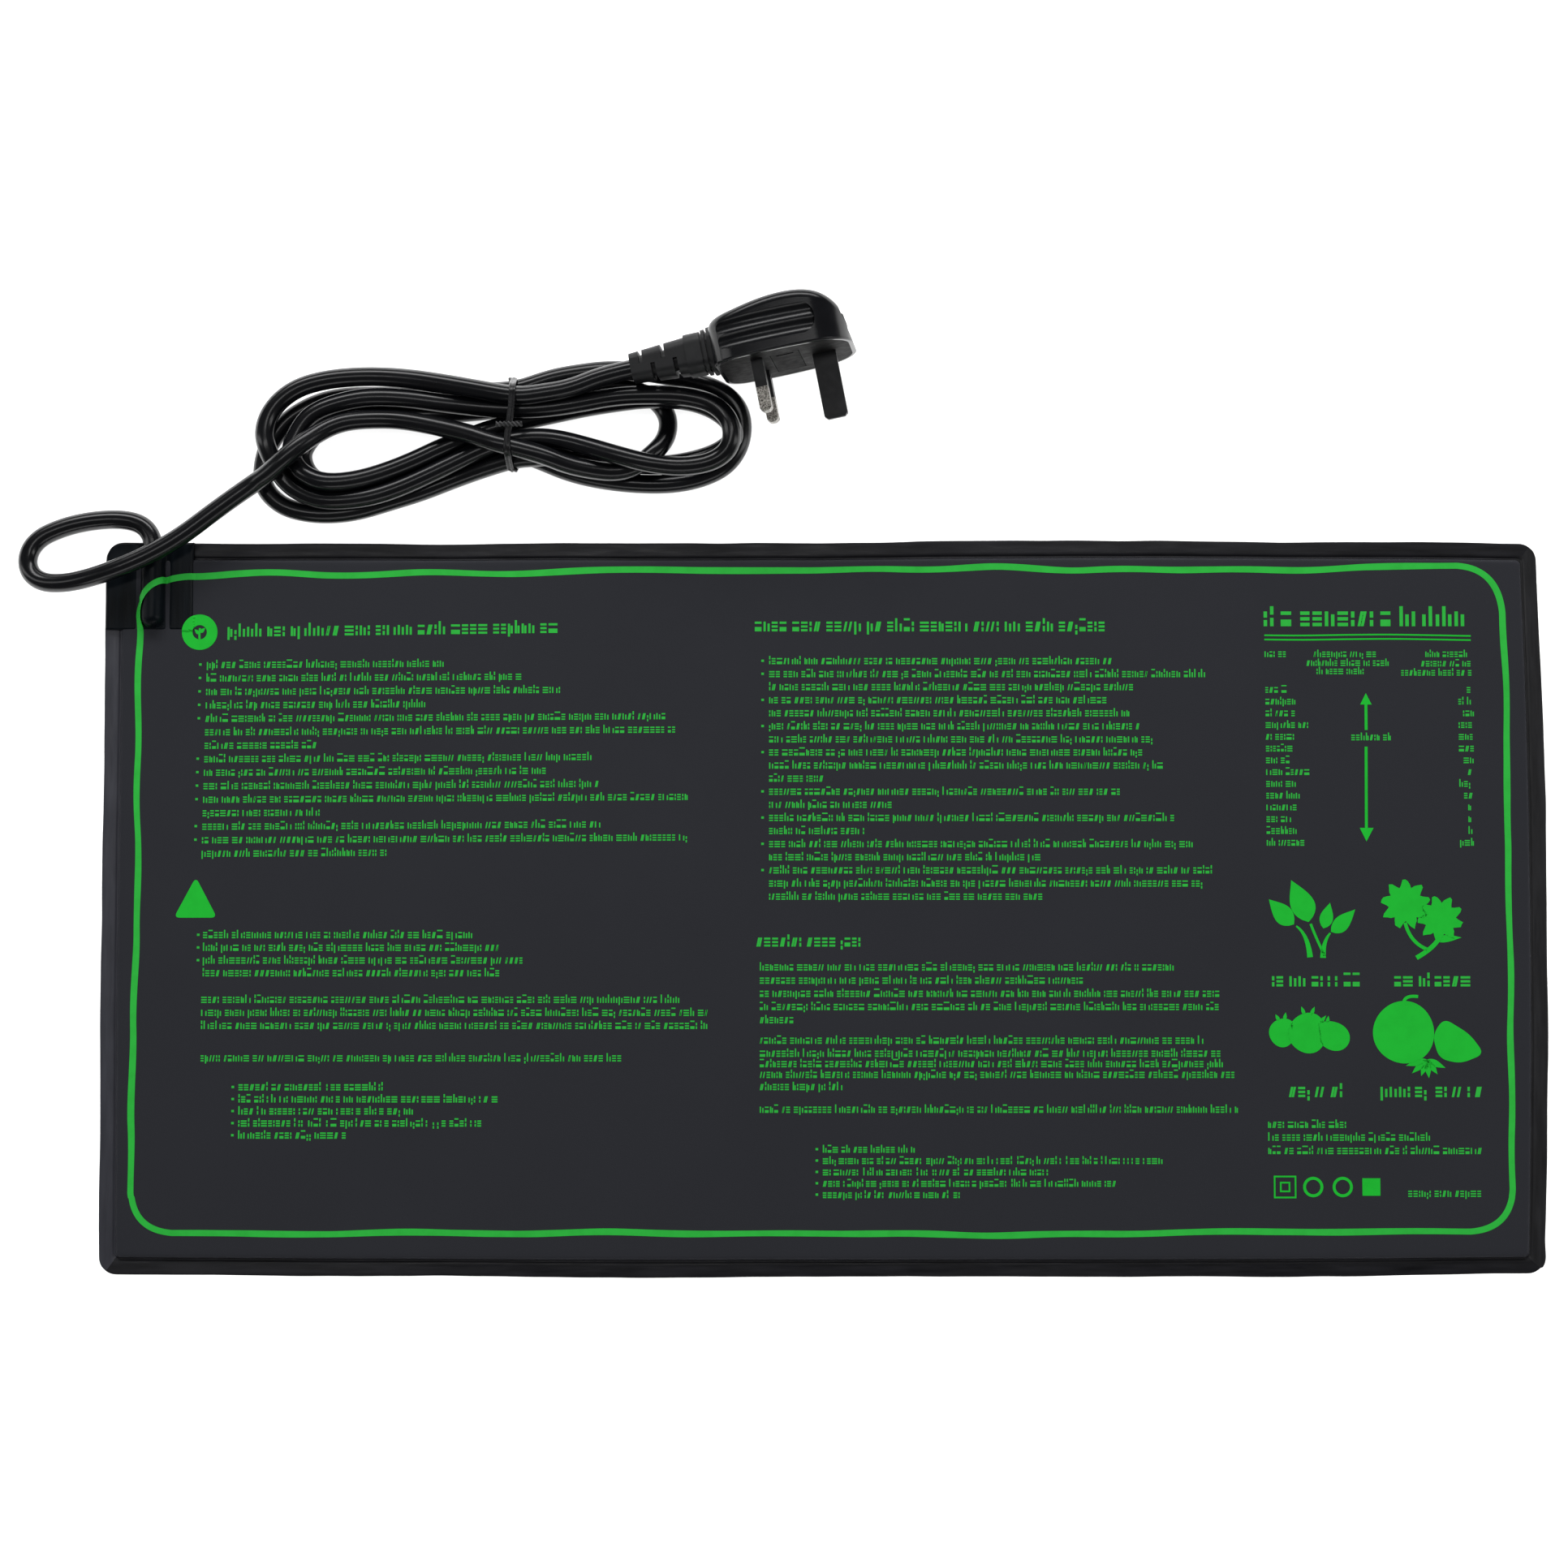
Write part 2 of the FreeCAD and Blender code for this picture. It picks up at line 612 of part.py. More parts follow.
def pin_sleeve(side):
    z = side * PIN_SPACING / 2
    half_x = PIN_THICK / 2
    half_z = PIN_WIDE / 2
    outer = pin_bar(z, half_x, half_z, (-SLEEVE_LENGTH, 0))
    return outer.cut(pin_bar(z, half_x - SLEEVE_WALL, half_z - SLEEVE_WALL, (-SLEEVE_LENGTH, 0)))


def core_barrel(x):
    """A crimped barrel on a tab, open towards the middle of the plug."""
    tab = box((x - 2.0, x + 2.0), (INSERT_DEPTH, INSERT_DEPTH + 0.5), (-12.5, -6.0))
    barrel = rod(Vector(x, CORE_Y, -11.5), Vector(x, CORE_Y, -6.0), 3.2)
    bore = rod(Vector(x, CORE_Y, -10.0), Vector(x, CORE_Y, -5.0), CORE)
    seat = box((x - 0.8, x + 0.8), (INSERT_DEPTH, CORE_Y - 1.2), (-11.5, -6.0))
    return tab.fuse([barrel, seat]).cut(bore)


def live_pin():
    return power_pin(1)


def neutral_pin():
    return power_pin(-1).fuse(core_barrel(0.0))


def earth_pin():
    """A plastic pin, which only opens the socket's shutters."""
    pin = box((PIN_SPACING - EARTH_WIDE / 2, PIN_SPACING + EARTH_WIDE / 2), (-EARTH_LENGTH, 6.0),
              (-PIN_THICK / 2, PIN_THICK / 2))
    ends = [edge for edge in pin.Edges if edge.BoundBox.YMax < -EARTH_LENGTH + 0.01]
    return pin.makeChamfer(TIP_CHAMFER, ends)


def fuse_jaws(side):
    """Two spring jaws beside the fuse's cap, joined behind it."""
    z = sorted((side * JAW_Z[0], side * JAW_Z[1]))
    reach = FUSE / 2 + 0.12
    jaws = [box((FUSE_X + edge, FUSE_X + edge + 0.5), (3.2, INSERT_DEPTH), z)
            for edge in (reach, -reach - 0.5)]
    bridge = box((FUSE_X - reach - 0.5, FUSE_X + reach + 0.5), (CARRIER[1] + 0.1, INSERT_DEPTH), z)
    return bridge.fuse(jaws)


def pin_fuse_clip():
    """Joins the live pin to the near end of the fuse."""
    strap = box((-PIN_THICK / 2, FUSE_X + 3.8), (INSERT_DEPTH, INSERT_DEPTH + 0.5), JAW_Z)
    return fuse_jaws(1).fuse(strap)


def cord_fuse_clip():
    """Joins the far end of the fuse to the live conductor."""
    return fuse_jaws(-1).fuse(core_barrel(FUSE_X)).removeSplitter()


def along_fuse(z_from, z_to, diameter):
    return rod(Vector(FUSE_X, FUSE_Y, z_from), Vector(FUSE_X, FUSE_Y, z_to), diameter)


def fuse_carrier():
    """A tray that holds the fuse and slides out of the pin face."""
    half_z = CARRIER[2] / 2
    tray = box((FUSE_X - CARRIER[0] / 2, FUSE_X + CARRIER[0] / 2), (0, CARRIER[1]), (-half_z, half_z))
    trough = along_fuse(-FUSE_LENGTH / 2, FUSE_LENGTH / 2, FUSE)
    opening = box((FUSE_X - FUSE / 2, FUSE_X + FUSE / 2), (FUSE_Y, CARRIER[1] + 1),
                  (-FUSE_LENGTH / 2, FUSE_LENGTH / 2))
    windows = [box((FUSE_X - CARRIER[0], FUSE_X + CARRIER[0]), (CARRIER_FRONT + 0.2, CARRIER[1] + 1),
                   sorted((side * (JAW_Z[0] - 0.4), side * FUSE_LENGTH / 2)))
               for side in (1, -1)]
    lever_slot = box((FUSE_X - 3.0, FUSE_X + 3.0), (-1, 0.7), (11.2, 12.4))
    return tray.cut([trough, opening, lever_slot] + windows)


def fuse_tube():
    whole = along_fuse(-FUSE_LENGTH / 2 + 0.5, FUSE_LENGTH / 2 - 0.5, FUSE_TUBE)
    return whole.cut(along_fuse(-FUSE_LENGTH, FUSE_LENGTH, FUSE_TUBE - 2.0))


def fuse_end_caps():
    caps = []
    for side in (1, -1):
        end = side * FUSE_LENGTH / 2
        cup = along_fuse(end, end - side * FUSE_CAP, FUSE)
        room = along_fuse(end - side * 0.5, end - side * (FUSE_CAP + 1), FUSE_TUBE)
        caps.append(cup.cut(room))
    return Part.makeCompound(caps)


def fuse_link():
    return along_fuse(-FUSE_LENGTH / 2 + 0.5, FUSE_LENGTH / 2 - 0.5, 0.5)


def relief_section(x, side):
    """A rounded square across the cord's axis."""
    half = side / 2
    corners = [Vector(x, CORD_AXIS_Y - half, -half), Vector(x, CORD_AXIS_Y + half, -half),
               Vector(x, CORD_AXIS_Y + half, half), Vector(x, CORD_AXIS_Y - half, half)]
    return corner_wire(corners, [0.3 * side] * 4)


def strain_relief():
    """A tapered sleeve cut into staggered segments, a block and a ridged collar."""
    sleeve = Part.makeLoft([relief_section(RELIEF[0], RELIEF_SMALL),
                            relief_section(RELIEF[1], RELIEF_LARGE)], True)
    block = Part.Face(relief_section(RELIEF[1], BLOCK)).extrude(Vector(BLOCK_END_X - RELIEF[1], 0, 0))
    collar = [Part.Face(relief_section(x, side)).extrude(Vector(width, 0, 0))
              for x, side, width in ((BLOCK_END_X, BLOCK - 1.6, CORD_END_X - BLOCK_END_X),
                                     (BLOCK_END_X + 0.7, BLOCK + 0.8, 1.1),
                                     (BLOCK_END_X + 2.7, BLOCK + 1.6, 1.1))]
    solid = sleeve.fuse([block] + collar)
    keep = rod(Vector(RELIEF[0] - 1, CORD_AXIS_Y, 0), Vector(0, CORD_AXIS_Y, 0), CORD + 1.4)
    slots = []
    pitch = (RELIEF[1] - RELIEF[0]) / 5
    for step in range(4):
        x = RELIEF[0] + (step + 1) * pitch
        y = (CORD_AXIS_Y + 0.4, 30) if step % 2 == 0 else (-30, CORD_AXIS_Y - 0.4)
        slots.append(box((x - SLOT / 2, x + SLOT / 2), y, (-30, 30)).cut(keep))
    bore = rod(Vector(RELIEF[0] - 1, CORD_AXIS_Y, 0), Vector(0, CORD_AXIS_Y, 0), CORD)
    return solid.cut(slots).cut(bore)


def plug_end_sheath():
    """The last of the cord's sheath, inside the strain relief."""
    sheath = rod(Vector(RELIEF[0], CORD_AXIS_Y, 0), Vector(CHAMBER[0] - 0.2, CORD_AXIS_Y, 0), CORD)
    bores = [rod(Vector(CHAMBER[0] - 3.2, CORD_AXIS_Y, side * CORE_SPREAD),
                 Vector(0, CORD_AXIS_Y, side * CORE_SPREAD), CORE) for side in (1, -1)]
    return sheath.cut(bores)


def plug_core(name, side, x_turn):
    """A conductor from the sheath, over the inner block, to its barrel at x_turn."""
    z = side * CORE_SPREAD
    points = [
        Vector(CHAMBER[0] - 3.2, CORD_AXIS_Y, z),
        Vector(CHAMBER[0] + 0.8, CORD_AXIS_Y, z),
        Vector(CHAMBER[0] + 5.0, CORE_Y, z),
        Vector(x_turn, CORE_Y, z),
        Vector(x_turn, CORE_Y, -9.0),
    ]
    return tube(name, points, CORE, [2.0, 2.0, 3.0])


def lead_to_plug():
    """From the hank's waist, over its right-hand turns, into the strain relief."""
    relief_end = PLUG_PLACE.multVec(Vector(RELIEF[0], CORD_AXIS_Y, 0))
    before = PLUG_PLACE.multVec(Vector(RELIEF[0] - 10.5, CORD_AXIS_Y, 0))
    points = [LEAD_OUT, LEAD_OUT.add(Vector(11.5, 0, 0)), before, relief_end]
    return tube("power_cord_plug_end", points, CORD)


def placed(shape):
    """A plug piece in the mat's axes."""
    shape = shape.copy()
    shape.Placement = PLUG_PLACE
    return shape


def build():
    """Every piece by name."""
    pieces = {
        "bottom_cover": bottom_cover(),
        "insulation_pad": insulation_pad(),
        "heating_wire": heating_wire(),
        "heat_spreader_foil": heat_spreader_foil(),
        "top_cover": top_cover(),
        "entry_patch": entry_patch(),
        "mat_end_sheath": mat_end_sheath(),
        "cord_ferrule": cord_ferrule(),
        "mat_live_core": mat_core(1),
        "mat_neutral_core": mat_core(-1),
        "live_splice": splice(1),
        "neutral_splice": splice(-1),
        "power_cord": power_cord(),
        "cord_hank": cord_hank(),
        "cord_tie": cord_tie(),
        "power_cord_plug_end": lead_to_plug(),
    }
    plug = {
        "plug_body": plug_body(),
        "plug_insert": plug_insert(),
        "plug_strain_relief": strain_relief(),
        "plug_end_sheath": plug_end_sheath(),
        "plug_live_core": plug_core("plug_live_core", 1, FUSE_X),
        "plug_neutral_core": plug_core("plug_neutral_core", -1, 0.0),
        "live_pin": live_pin(),
        "neutral_pin": neutral_pin(),
        "earth_pin": earth_pin(),
        "live_pin_sleeve": pin_sleeve(1),
        "neutral_pin_sleeve": pin_sleeve(-1),
        "pin_fuse_clip": pin_fuse_clip(),
        "cord_fuse_clip": cord_fuse_clip(),
        "fuse_carrier": fuse_carrier(),
        "fuse_tube": fuse_tube(),
        "fuse_end_caps": fuse_end_caps(),
        "fuse_link": fuse_link(),
    }
    for name, shape in plug.items():
        pieces[name] = placed(shape)
    return pieces


os.makedirs("parts", exist_ok=True)
for name, shape in build().items():
    if not shape.isValid():
        print("NOT VALID:", name)
    shape.exportStep(f"parts/{name}.step")
    print(f"{name}: {len(shape.Solids)} solid, {shape.Volume:.0f} mm3")
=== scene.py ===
import math
import random

import bpy
import numpy as np
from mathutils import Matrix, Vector, noise


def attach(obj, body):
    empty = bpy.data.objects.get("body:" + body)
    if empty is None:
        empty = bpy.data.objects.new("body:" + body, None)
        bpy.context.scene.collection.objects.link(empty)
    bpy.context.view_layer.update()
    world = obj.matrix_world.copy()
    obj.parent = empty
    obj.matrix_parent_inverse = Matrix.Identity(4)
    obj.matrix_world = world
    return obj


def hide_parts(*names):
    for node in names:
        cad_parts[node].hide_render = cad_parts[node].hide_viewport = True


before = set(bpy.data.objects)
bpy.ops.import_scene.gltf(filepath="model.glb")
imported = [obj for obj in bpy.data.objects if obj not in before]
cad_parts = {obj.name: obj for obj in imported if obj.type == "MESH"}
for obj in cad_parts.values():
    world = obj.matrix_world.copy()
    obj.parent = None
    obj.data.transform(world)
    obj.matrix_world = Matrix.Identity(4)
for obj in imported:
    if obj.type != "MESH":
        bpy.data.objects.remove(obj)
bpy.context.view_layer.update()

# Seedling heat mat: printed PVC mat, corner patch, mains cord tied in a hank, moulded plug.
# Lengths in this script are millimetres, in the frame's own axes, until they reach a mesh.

MM = 0.001
MAT = "mat_and_plug"

HALF_X, HALF_Y = 250.0, 127.0
CORNER = 6.0              # radius of the mat's corners
PANEL = 2.7
PATCH_X, PATCH_Y = -219.5, 96.5       # inner sides of the corner patch
PATCH_TOP, PATCH_BASE = 2.9, 0.55
ENTRY_X, ENTRY_Z, MOUTH_Y = -233.4, 3.8, 123.5
CORD = 6.6
TIE_X = -107.5
TIE_Y, TIE_Z = (155.3, 179.1), (4.3, 17.4)     # room for the turns' middles inside the tie


# ---- materials ----

class Surface:
    """A node material built up from grain, colour variation and bumps."""

    def __init__(self, name, colour, roughness, metallic=0.0, specular=0.5):
        self.material = bpy.data.materials.new(name)
        self.material.use_nodes = True
        self.tree = self.material.node_tree
        self.shader = self.tree.nodes["Principled BSDF"]
        self.set("Base Color", (*colour, 1.0))
        self.set("Roughness", roughness)
        self.set("Metallic", metallic)
        self.set("Specular IOR Level", specular)
        self.coordinates = self.tree.nodes.new("ShaderNodeTexCoord").outputs["Object"]
        self.normal = None

    def set(self, socket, value):
        self.shader.inputs[socket].default_value = value

    def node(self, kind, **values):
        node = self.tree.nodes.new(kind)
        for key, value in values.items():
            setattr(node, key, value)
        return node

    def link(self, source, target):
        self.tree.links.new(source, target)

    def grain(self, size, detail=3.0, stretch=(1, 1, 1), turn=0.0):
        """Noise whose features are about size millimetres across."""
        mapping = self.node("ShaderNodeMapping")
        mapping.inputs["Scale"].default_value = stretch
        mapping.inputs["Rotation"].default_value = (0, 0, turn)
        self.link(self.coordinates, mapping.inputs["Vector"])
        texture = self.node("ShaderNodeTexNoise")
        texture.inputs["Scale"].default_value = 1 / (size * MM)
        texture.inputs["Detail"].default_value = detail
        self.link(mapping.outputs["Vector"], texture.inputs["Vector"])
        return texture.outputs["Fac"]

    def span(self, factor, low, high, from_low=0.3, from_high=0.7):
        ranged = self.node("ShaderNodeMapRange")
        ranged.inputs["From Min"].default_value = from_low
        ranged.inputs["From Max"].default_value = from_high
        ranged.inputs["To Min"].default_value = low
        ranged.inputs["To Max"].default_value = high
        self.link(factor, ranged.inputs["Value"])
        return ranged.outputs["Result"]

    def colours(self, factor, stops):
        ramp = self.node("ShaderNodeValToRGB")
        elements = ramp.color_ramp.elements
        while len(elements) < len(stops):
            elements.new(0.5)
        for element, (place, colour) in zip(elements, stops):
            element.position = place
            element.color = (*colour, 1.0)
        self.link(factor, ramp.inputs["Fac"])
        self.link(ramp.outputs["Color"], self.shader.inputs["Base Color"])
        return self

    def rough(self, factor, low, high):
        self.link(self.span(factor, low, high), self.shader.inputs["Roughness"])
        return self

    def bump(self, height, strength, depth):
        node = self.node("ShaderNodeBump")
        node.inputs["Strength"].default_value = strength
        node.inputs["Distance"].default_value = depth * MM
        self.link(height, node.inputs["Height"])
        if self.normal is not None:
            self.link(self.normal, node.inputs["Normal"])
        self.normal = node.outputs["Normal"]
        self.link(self.normal, self.shader.inputs["Normal"])
        return self


def film_material():
    film = Surface("film", (0.023, 0.024, 0.028), 0.66, specular=0.22)
    film.colours(film.grain(60, 2), [(0.3, (0.0315, 0.0330, 0.0410)), (0.7, (0.0335, 0.0352, 0.0437))])
    film.rough(film.grain(9, 4), 0.60, 0.66)
    film.bump(film.grain(0.55, 2), 0.22, 0.12)
    film.bump(film.grain(14, 3), 0.03, 0.5)
    return film.material


def flange_material(name, along_x, low, high):
    """The welded rim: smoother than the panel, with fine streaks from the weld bar; low and high are its
    tones, painted per side as light and shade.
    """
    stretch = (0.12, 1, 1) if along_x else (1, 0.12, 1)
    rim = Surface(name, (0.012, 0.012, 0.016), 0.46, specular=0.3)
    rim.colours(rim.grain(2.2, 4, stretch), [(0.32, low), (0.72, high)])
    rim.rough(rim.grain(1.6, 3, stretch), 0.30, 0.50)
    rim.bump(rim.grain(0.9, 3, stretch), 0.35, 0.10)
    rim.bump(rim.grain(11, 3), 0.12, 0.6)
    return rim.material


def patch_material():
    patch = Surface("patch", (0.004, 0.006, 0.009), 0.36, specular=0.12)
    patch.colours(patch.grain(2.6, 3, (1, 0.08, 1)),
                  [(0.3, (0.002, 0.0035, 0.005)), (0.7, (0.006, 0.009, 0.0125))])
    patch.rough(patch.grain(3, 3, (1, 0.1, 1)), 0.26, 0.44)
    patch.bump(patch.grain(1.0, 2, (1, 0.06, 1)), 0.25, 0.12)
    return patch.material


def cord_material():
    sheath = Surface("cord_sheath", (0.007, 0.008, 0.010), 0.20, specular=0.5)
    sheath.colours(sheath.grain(12, 3), [(0.3, (0.003, 0.0033, 0.0045)), (0.7, (0.005, 0.0055, 0.0075))])
    sheath.rough(sheath.grain(14, 2), 0.20, 0.26)
    sheath.bump(sheath.grain(12, 2), 0.03, 0.4)
    return sheath.material


def moulded(name, low, high, rough_low, rough_high, grain=0.5, strength=0.15, specular=0.5):
    made = Surface(name, low, rough_low, specular=specular)
    made.colours(made.grain(8, 3), [(0.3, low), (0.7, high)])
    made.rough(made.grain(3, 3), rough_low, rough_high)
    made.bump(made.grain(grain, 2), strength, 0.12)
    return made.material


def pin_material():
    """Plated brass, speckled by wear."""
    pin = Surface("pin_metal", (0.42, 0.40, 0.36), 0.42, metallic=1.0)
    pin.colours(pin.grain(0.5, 5),
                [(0.36, (0.07, 0.065, 0.06)), (0.50, (0.33, 0.31, 0.28)), (0.68, (0.68, 0.655, 0.61))])
    pin.rough(pin.grain(0.7, 4), 0.30, 0.60)
    pin.bump(pin.grain(0.35, 3), 0.25, 0.06)
    return pin.material


def ink_material(name, colour, worn):
    ink = Surface(name, colour, 0.5, specular=0.2)
    ink.colours(ink.grain(5, 4), [(0.25, worn), (0.6, colour)])
    ink.bump(ink.grain(0.5, 2), 0.15, 0.05)
    return ink.material


def plain(name, low, high, roughness, metallic=0.0, grain=1.0):
    """For the pieces inside: two tones and a fine bump."""
    made = Surface(name, low, roughness, metallic=metallic)
    made.colours(made.grain(grain * 4, 4), [(0.3, low), (0.7, high)])
    made.bump(made.grain(grain, 3), 0.2, 0.1)
    return made.material


FILM = film_material()
# The rims are one welded film. Their tones per side are painted light: the left rim is painted lighter as
# sheen, and the long rims and the right rim are painted darker as shade.
RIM_LONG_PAINTED_SHADE = flange_material("rim_long_painted_shade", True, (0.006, 0.006, 0.0077), (0.0165, 0.0165, 0.021))
RIM_RIGHT_PAINTED_SHADE = flange_material("rim_right_painted_shade", False, (0.0155, 0.0155, 0.017), (0.027, 0.027, 0.030))
RIM_LEFT_PAINTED_SHEEN = flange_material("rim_left_painted_sheen", False, (0.045, 0.046, 0.058), (0.066, 0.068, 0.084))
PATCH = patch_material()
SHEATH = cord_material()
INK = ink_material("ink", (0.042, 0.740, 0.080), (0.036, 0.660, 0.068))
ICON_INK = ink_material("icon_ink", (0.018, 0.780, 0.050), (0.016, 0.720, 0.045))
SHELL = moulded("plug_shell", (0.003, 0.0033, 0.0045), (0.006, 0.0065, 0.0085), 0.22, 0.25, 0.6, 0.05, 0.40)
RELIEF = moulded("relief_rubber", (0.007, 0.0075, 0.009), (0.011, 0.0115, 0.013), 0.42, 0.58, 0.5, 0.22)
FACE = moulded("plug_face", (0.004, 0.004, 0.0042), (0.010, 0.0098, 0.0098), 0.55, 0.70, 0.45, 0.65, 0.09)
CARRIER = moulded("carrier_plastic", (0.002, 0.002, 0.002), (0.006, 0.006, 0.006),
                  0.50, 0.65, 0.4, 0.55, 0.03)
PIN_BLACK = moulded("pin_plastic", (0.005, 0.005, 0.0065), (0.009, 0.0095, 0.0115),
                    0.38, 0.50, 0.5, 0.12, 0.4)
PIN = pin_material()
TIE_TIPS = moulded("tie_tips", (0.05, 0.05, 0.052), (0.16, 0.16, 0.165), 0.35, 0.5, 0.7, 0.2)
TIE = moulded("tie_coating", (0.006, 0.006, 0.007), (0.012, 0.012, 0.014), 0.22, 0.34, 0.7, 0.2)

INNER = {
    "insulation_pad": plain("foam", (0.50, 0.50, 0.46), (0.70, 0.70, 0.66), 0.9, grain=0.6),
    "heat_spreader_foil": plain("foil", (0.72, 0.73, 0.74), (0.86, 0.87, 0.88), 0.28, 1.0, 3.0),
    "heating_wire": plain("wire_insulation", (0.42, 0.04, 0.03), (0.60, 0.07, 0.05), 0.45),
    "cord_ferrule": plain("steel", (0.46, 0.46, 0.47), (0.62, 0.62, 0.63), 0.35, 1.0),
    "mat_live_core": plain("core_brown", (0.15, 0.06, 0.025), (0.22, 0.09, 0.04), 0.45),
    "mat_neutral_core": plain("core_blue", (0.02, 0.10, 0.38), (0.04, 0.15, 0.50), 0.45),
    "live_splice": plain("splice_sleeve", (0.58, 0.56, 0.48), (0.74, 0.72, 0.64), 0.5),
    "pin_fuse_clip": plain("brass_strip", (0.60, 0.43, 0.17), (0.78, 0.58, 0.26), 0.32, 1.0),
    "fuse_tube": plain("fuse_ceramic", (0.70, 0.67, 0.60), (0.84, 0.82, 0.76), 0.65),
    "fuse_end_caps": plain("cap_metal", (0.56, 0.56, 0.56), (0.72, 0.72, 0.72), 0.25, 1.0),
}
SAME = {       # pieces that look like one above
    "neutral_splice": "live_splice", "plug_live_core": "mat_live_core",
    "plug_neutral_core": "mat_neutral_core", "cord_fuse_clip": "pin_fuse_clip", "fuse_link": "fuse_end_caps",
}
OUTER = {
    "plug_body": SHELL, "plug_insert": FACE, "plug_strain_relief": RELIEF,
    "live_pin": PIN, "neutral_pin": PIN, "earth_pin": PIN_BLACK,
    "live_pin_sleeve": PIN_BLACK, "neutral_pin_sleeve": PIN_BLACK, "fuse_carrier": CARRIER,
    "mat_end_sheath": SHEATH, "plug_end_sheath": SHEATH,
}


def give(piece, material):
    piece.data.materials.clear()
    piece.data.materials.append(material)


for name, material in {**INNER, **OUTER}.items():
    give(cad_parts[name], material)
for name, like in SAME.items():
    give(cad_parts[name], INNER[like])


# ---- meshes ----

def add_mesh(name, points, faces, materials, kinds=None, smooth=True):
    """A mesh piece from millimetre points, riding with the mat."""
    mesh = bpy.data.meshes.new(name)
    mesh.from_pydata([(x * MM, y * MM, z * MM) for x, y, z in points], [], faces)
    for material in materials:
        mesh.materials.append(material)
    mesh.polygons.foreach_set("use_smooth", [smooth] * len(mesh.polygons))
    if kinds is not None:
        mesh.polygons.foreach_set("material_index", kinds)
    mesh.update()
    piece = bpy.data.objects.new(name, mesh)
    bpy.context.scene.collection.objects.link(piece)
    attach(piece, MAT)
    return piece


def wobble(x, y, size, seed):
    """Smooth noise between about -1 and 1, with features of size millimetres."""
    return 2.0 * noise.noise(Vector((x / size + 17.3 * seed, y / size - 9.1 * seed, 3.7 * seed)))


# ---- the mat's surface ----

LONG_STEPS, SHORT_STEPS, CORNER_STEPS = 260, 130, 10


def outline_ring(inset):
    """The mat's outline drawn in by inset: corner arcs and sides, from the top right round by the left."""
    radius = max(CORNER - inset, 0.9 + 0.12 * inset)
    hx, hy = HALF_X - inset, HALF_Y - inset
    radius = min(radius, 0.9 * hy)
    corners = [(hx, hy, 0), (-hx, hy, 90), (-hx, -hy, 180), (hx, -hy, 270)]
    arcs = []
    for x, y, start in corners:
        ox = x - math.copysign(radius, x)
        oy = y - math.copysign(radius, y)
        angles = [math.radians(start + 90 * i / CORNER_STEPS) for i in range(CORNER_STEPS + 1)]
        arcs.append([(ox + radius * math.cos(a), oy + radius * math.sin(a)) for a in angles])
    ring = []
    for k, arc in enumerate(arcs):
        ring += arc
        (ax, ay), (bx, by) = arc[-1], arcs[(k + 1) % 4][0]
        steps = LONG_STEPS if k % 2 == 0 else SHORT_STEPS
        ring += [(ax + (bx - ax) * i / steps, ay + (by - ay) * i / steps) for i in range(1, steps)]
    return ring


def swell(x, y):
    """The panel's faint unevenness."""
    edge = min(1.0, max(0.0, (min(HALF_X - abs(x), HALF_Y - abs(y)) - 6.0) / 14.0))
    return edge * (0.10 * wobble(x, y, 90, 1) + 0.03 * wobble(x, y, 34, 2))


def rim_lift(x, y, inset):
    """The flange doesn't lie quite flat."""
    return max(0.0, 1.0 - inset / 6.0) * 0.30 * max(0.0, 0.4 + wobble(x, y, 55, 3))


SHEET_MATERIALS = [FILM, RIM_LONG_PAINTED_SHADE, RIM_RIGHT_PAINTED_SHADE, RIM_LEFT_PAINTED_SHEEN]
PROFILE = [      # inset and height, from the underside out, over the edge, and in across the panel
    (14.0, 0.52), (3.0, 0.50), (0.35, 0.50), (0.08, 0.56), (0.0, 0.68), (0.0, 0.84), (0.10, 0.95),
    (0.35, 1.0), (0.9, 1.02), (1.6, 0.99), (2.4, 1.02), (3.2, 1.0), (4.0, 1.02), (4.6, 1.0), (4.9, 0.9),
    (5.15, 0.70), (5.4, 0.66), (5.6, 0.72), (5.75, 1.0), (5.9, 1.6), (6.1, 2.15), (6.4, 2.48), (6.9, 2.64),
    (7.6, 2.69), (8.6, PANEL), (10, PANEL), (12, PANEL), (15, PANEL), (18, PANEL), (22, PANEL), (26, PANEL),
] + [(30 + 5.4 * i, PANEL) for i in range(17)]


def moved_edge(x, y, inset):
    """The mat's sides bow out a little, and their cut is slightly uneven."""
    cut = max(0.0, 1.0 - inset / 9.0) * (0.30 * wobble(x, y, 60, 4) + 0.10 * wobble(x, y, 14, 5))
    bow = max(0.0, 1.0 - inset / 60.0)
    if (HALF_X - abs(x)) < (HALF_Y - abs(y)):
        bow *= (2.4 if x > 0 else 0.8) * (1 - (y / HALF_Y) ** 2)
        return x + math.copysign(cut + bow, x), y
    bow *= 0.9 * math.sin(math.pi * max(0.0, x) / HALF_X) if y > 0 else 1.1 * (1 - (x / HALF_X) ** 2)
    return x, y + math.copysign(1.0, y) * (cut + bow)


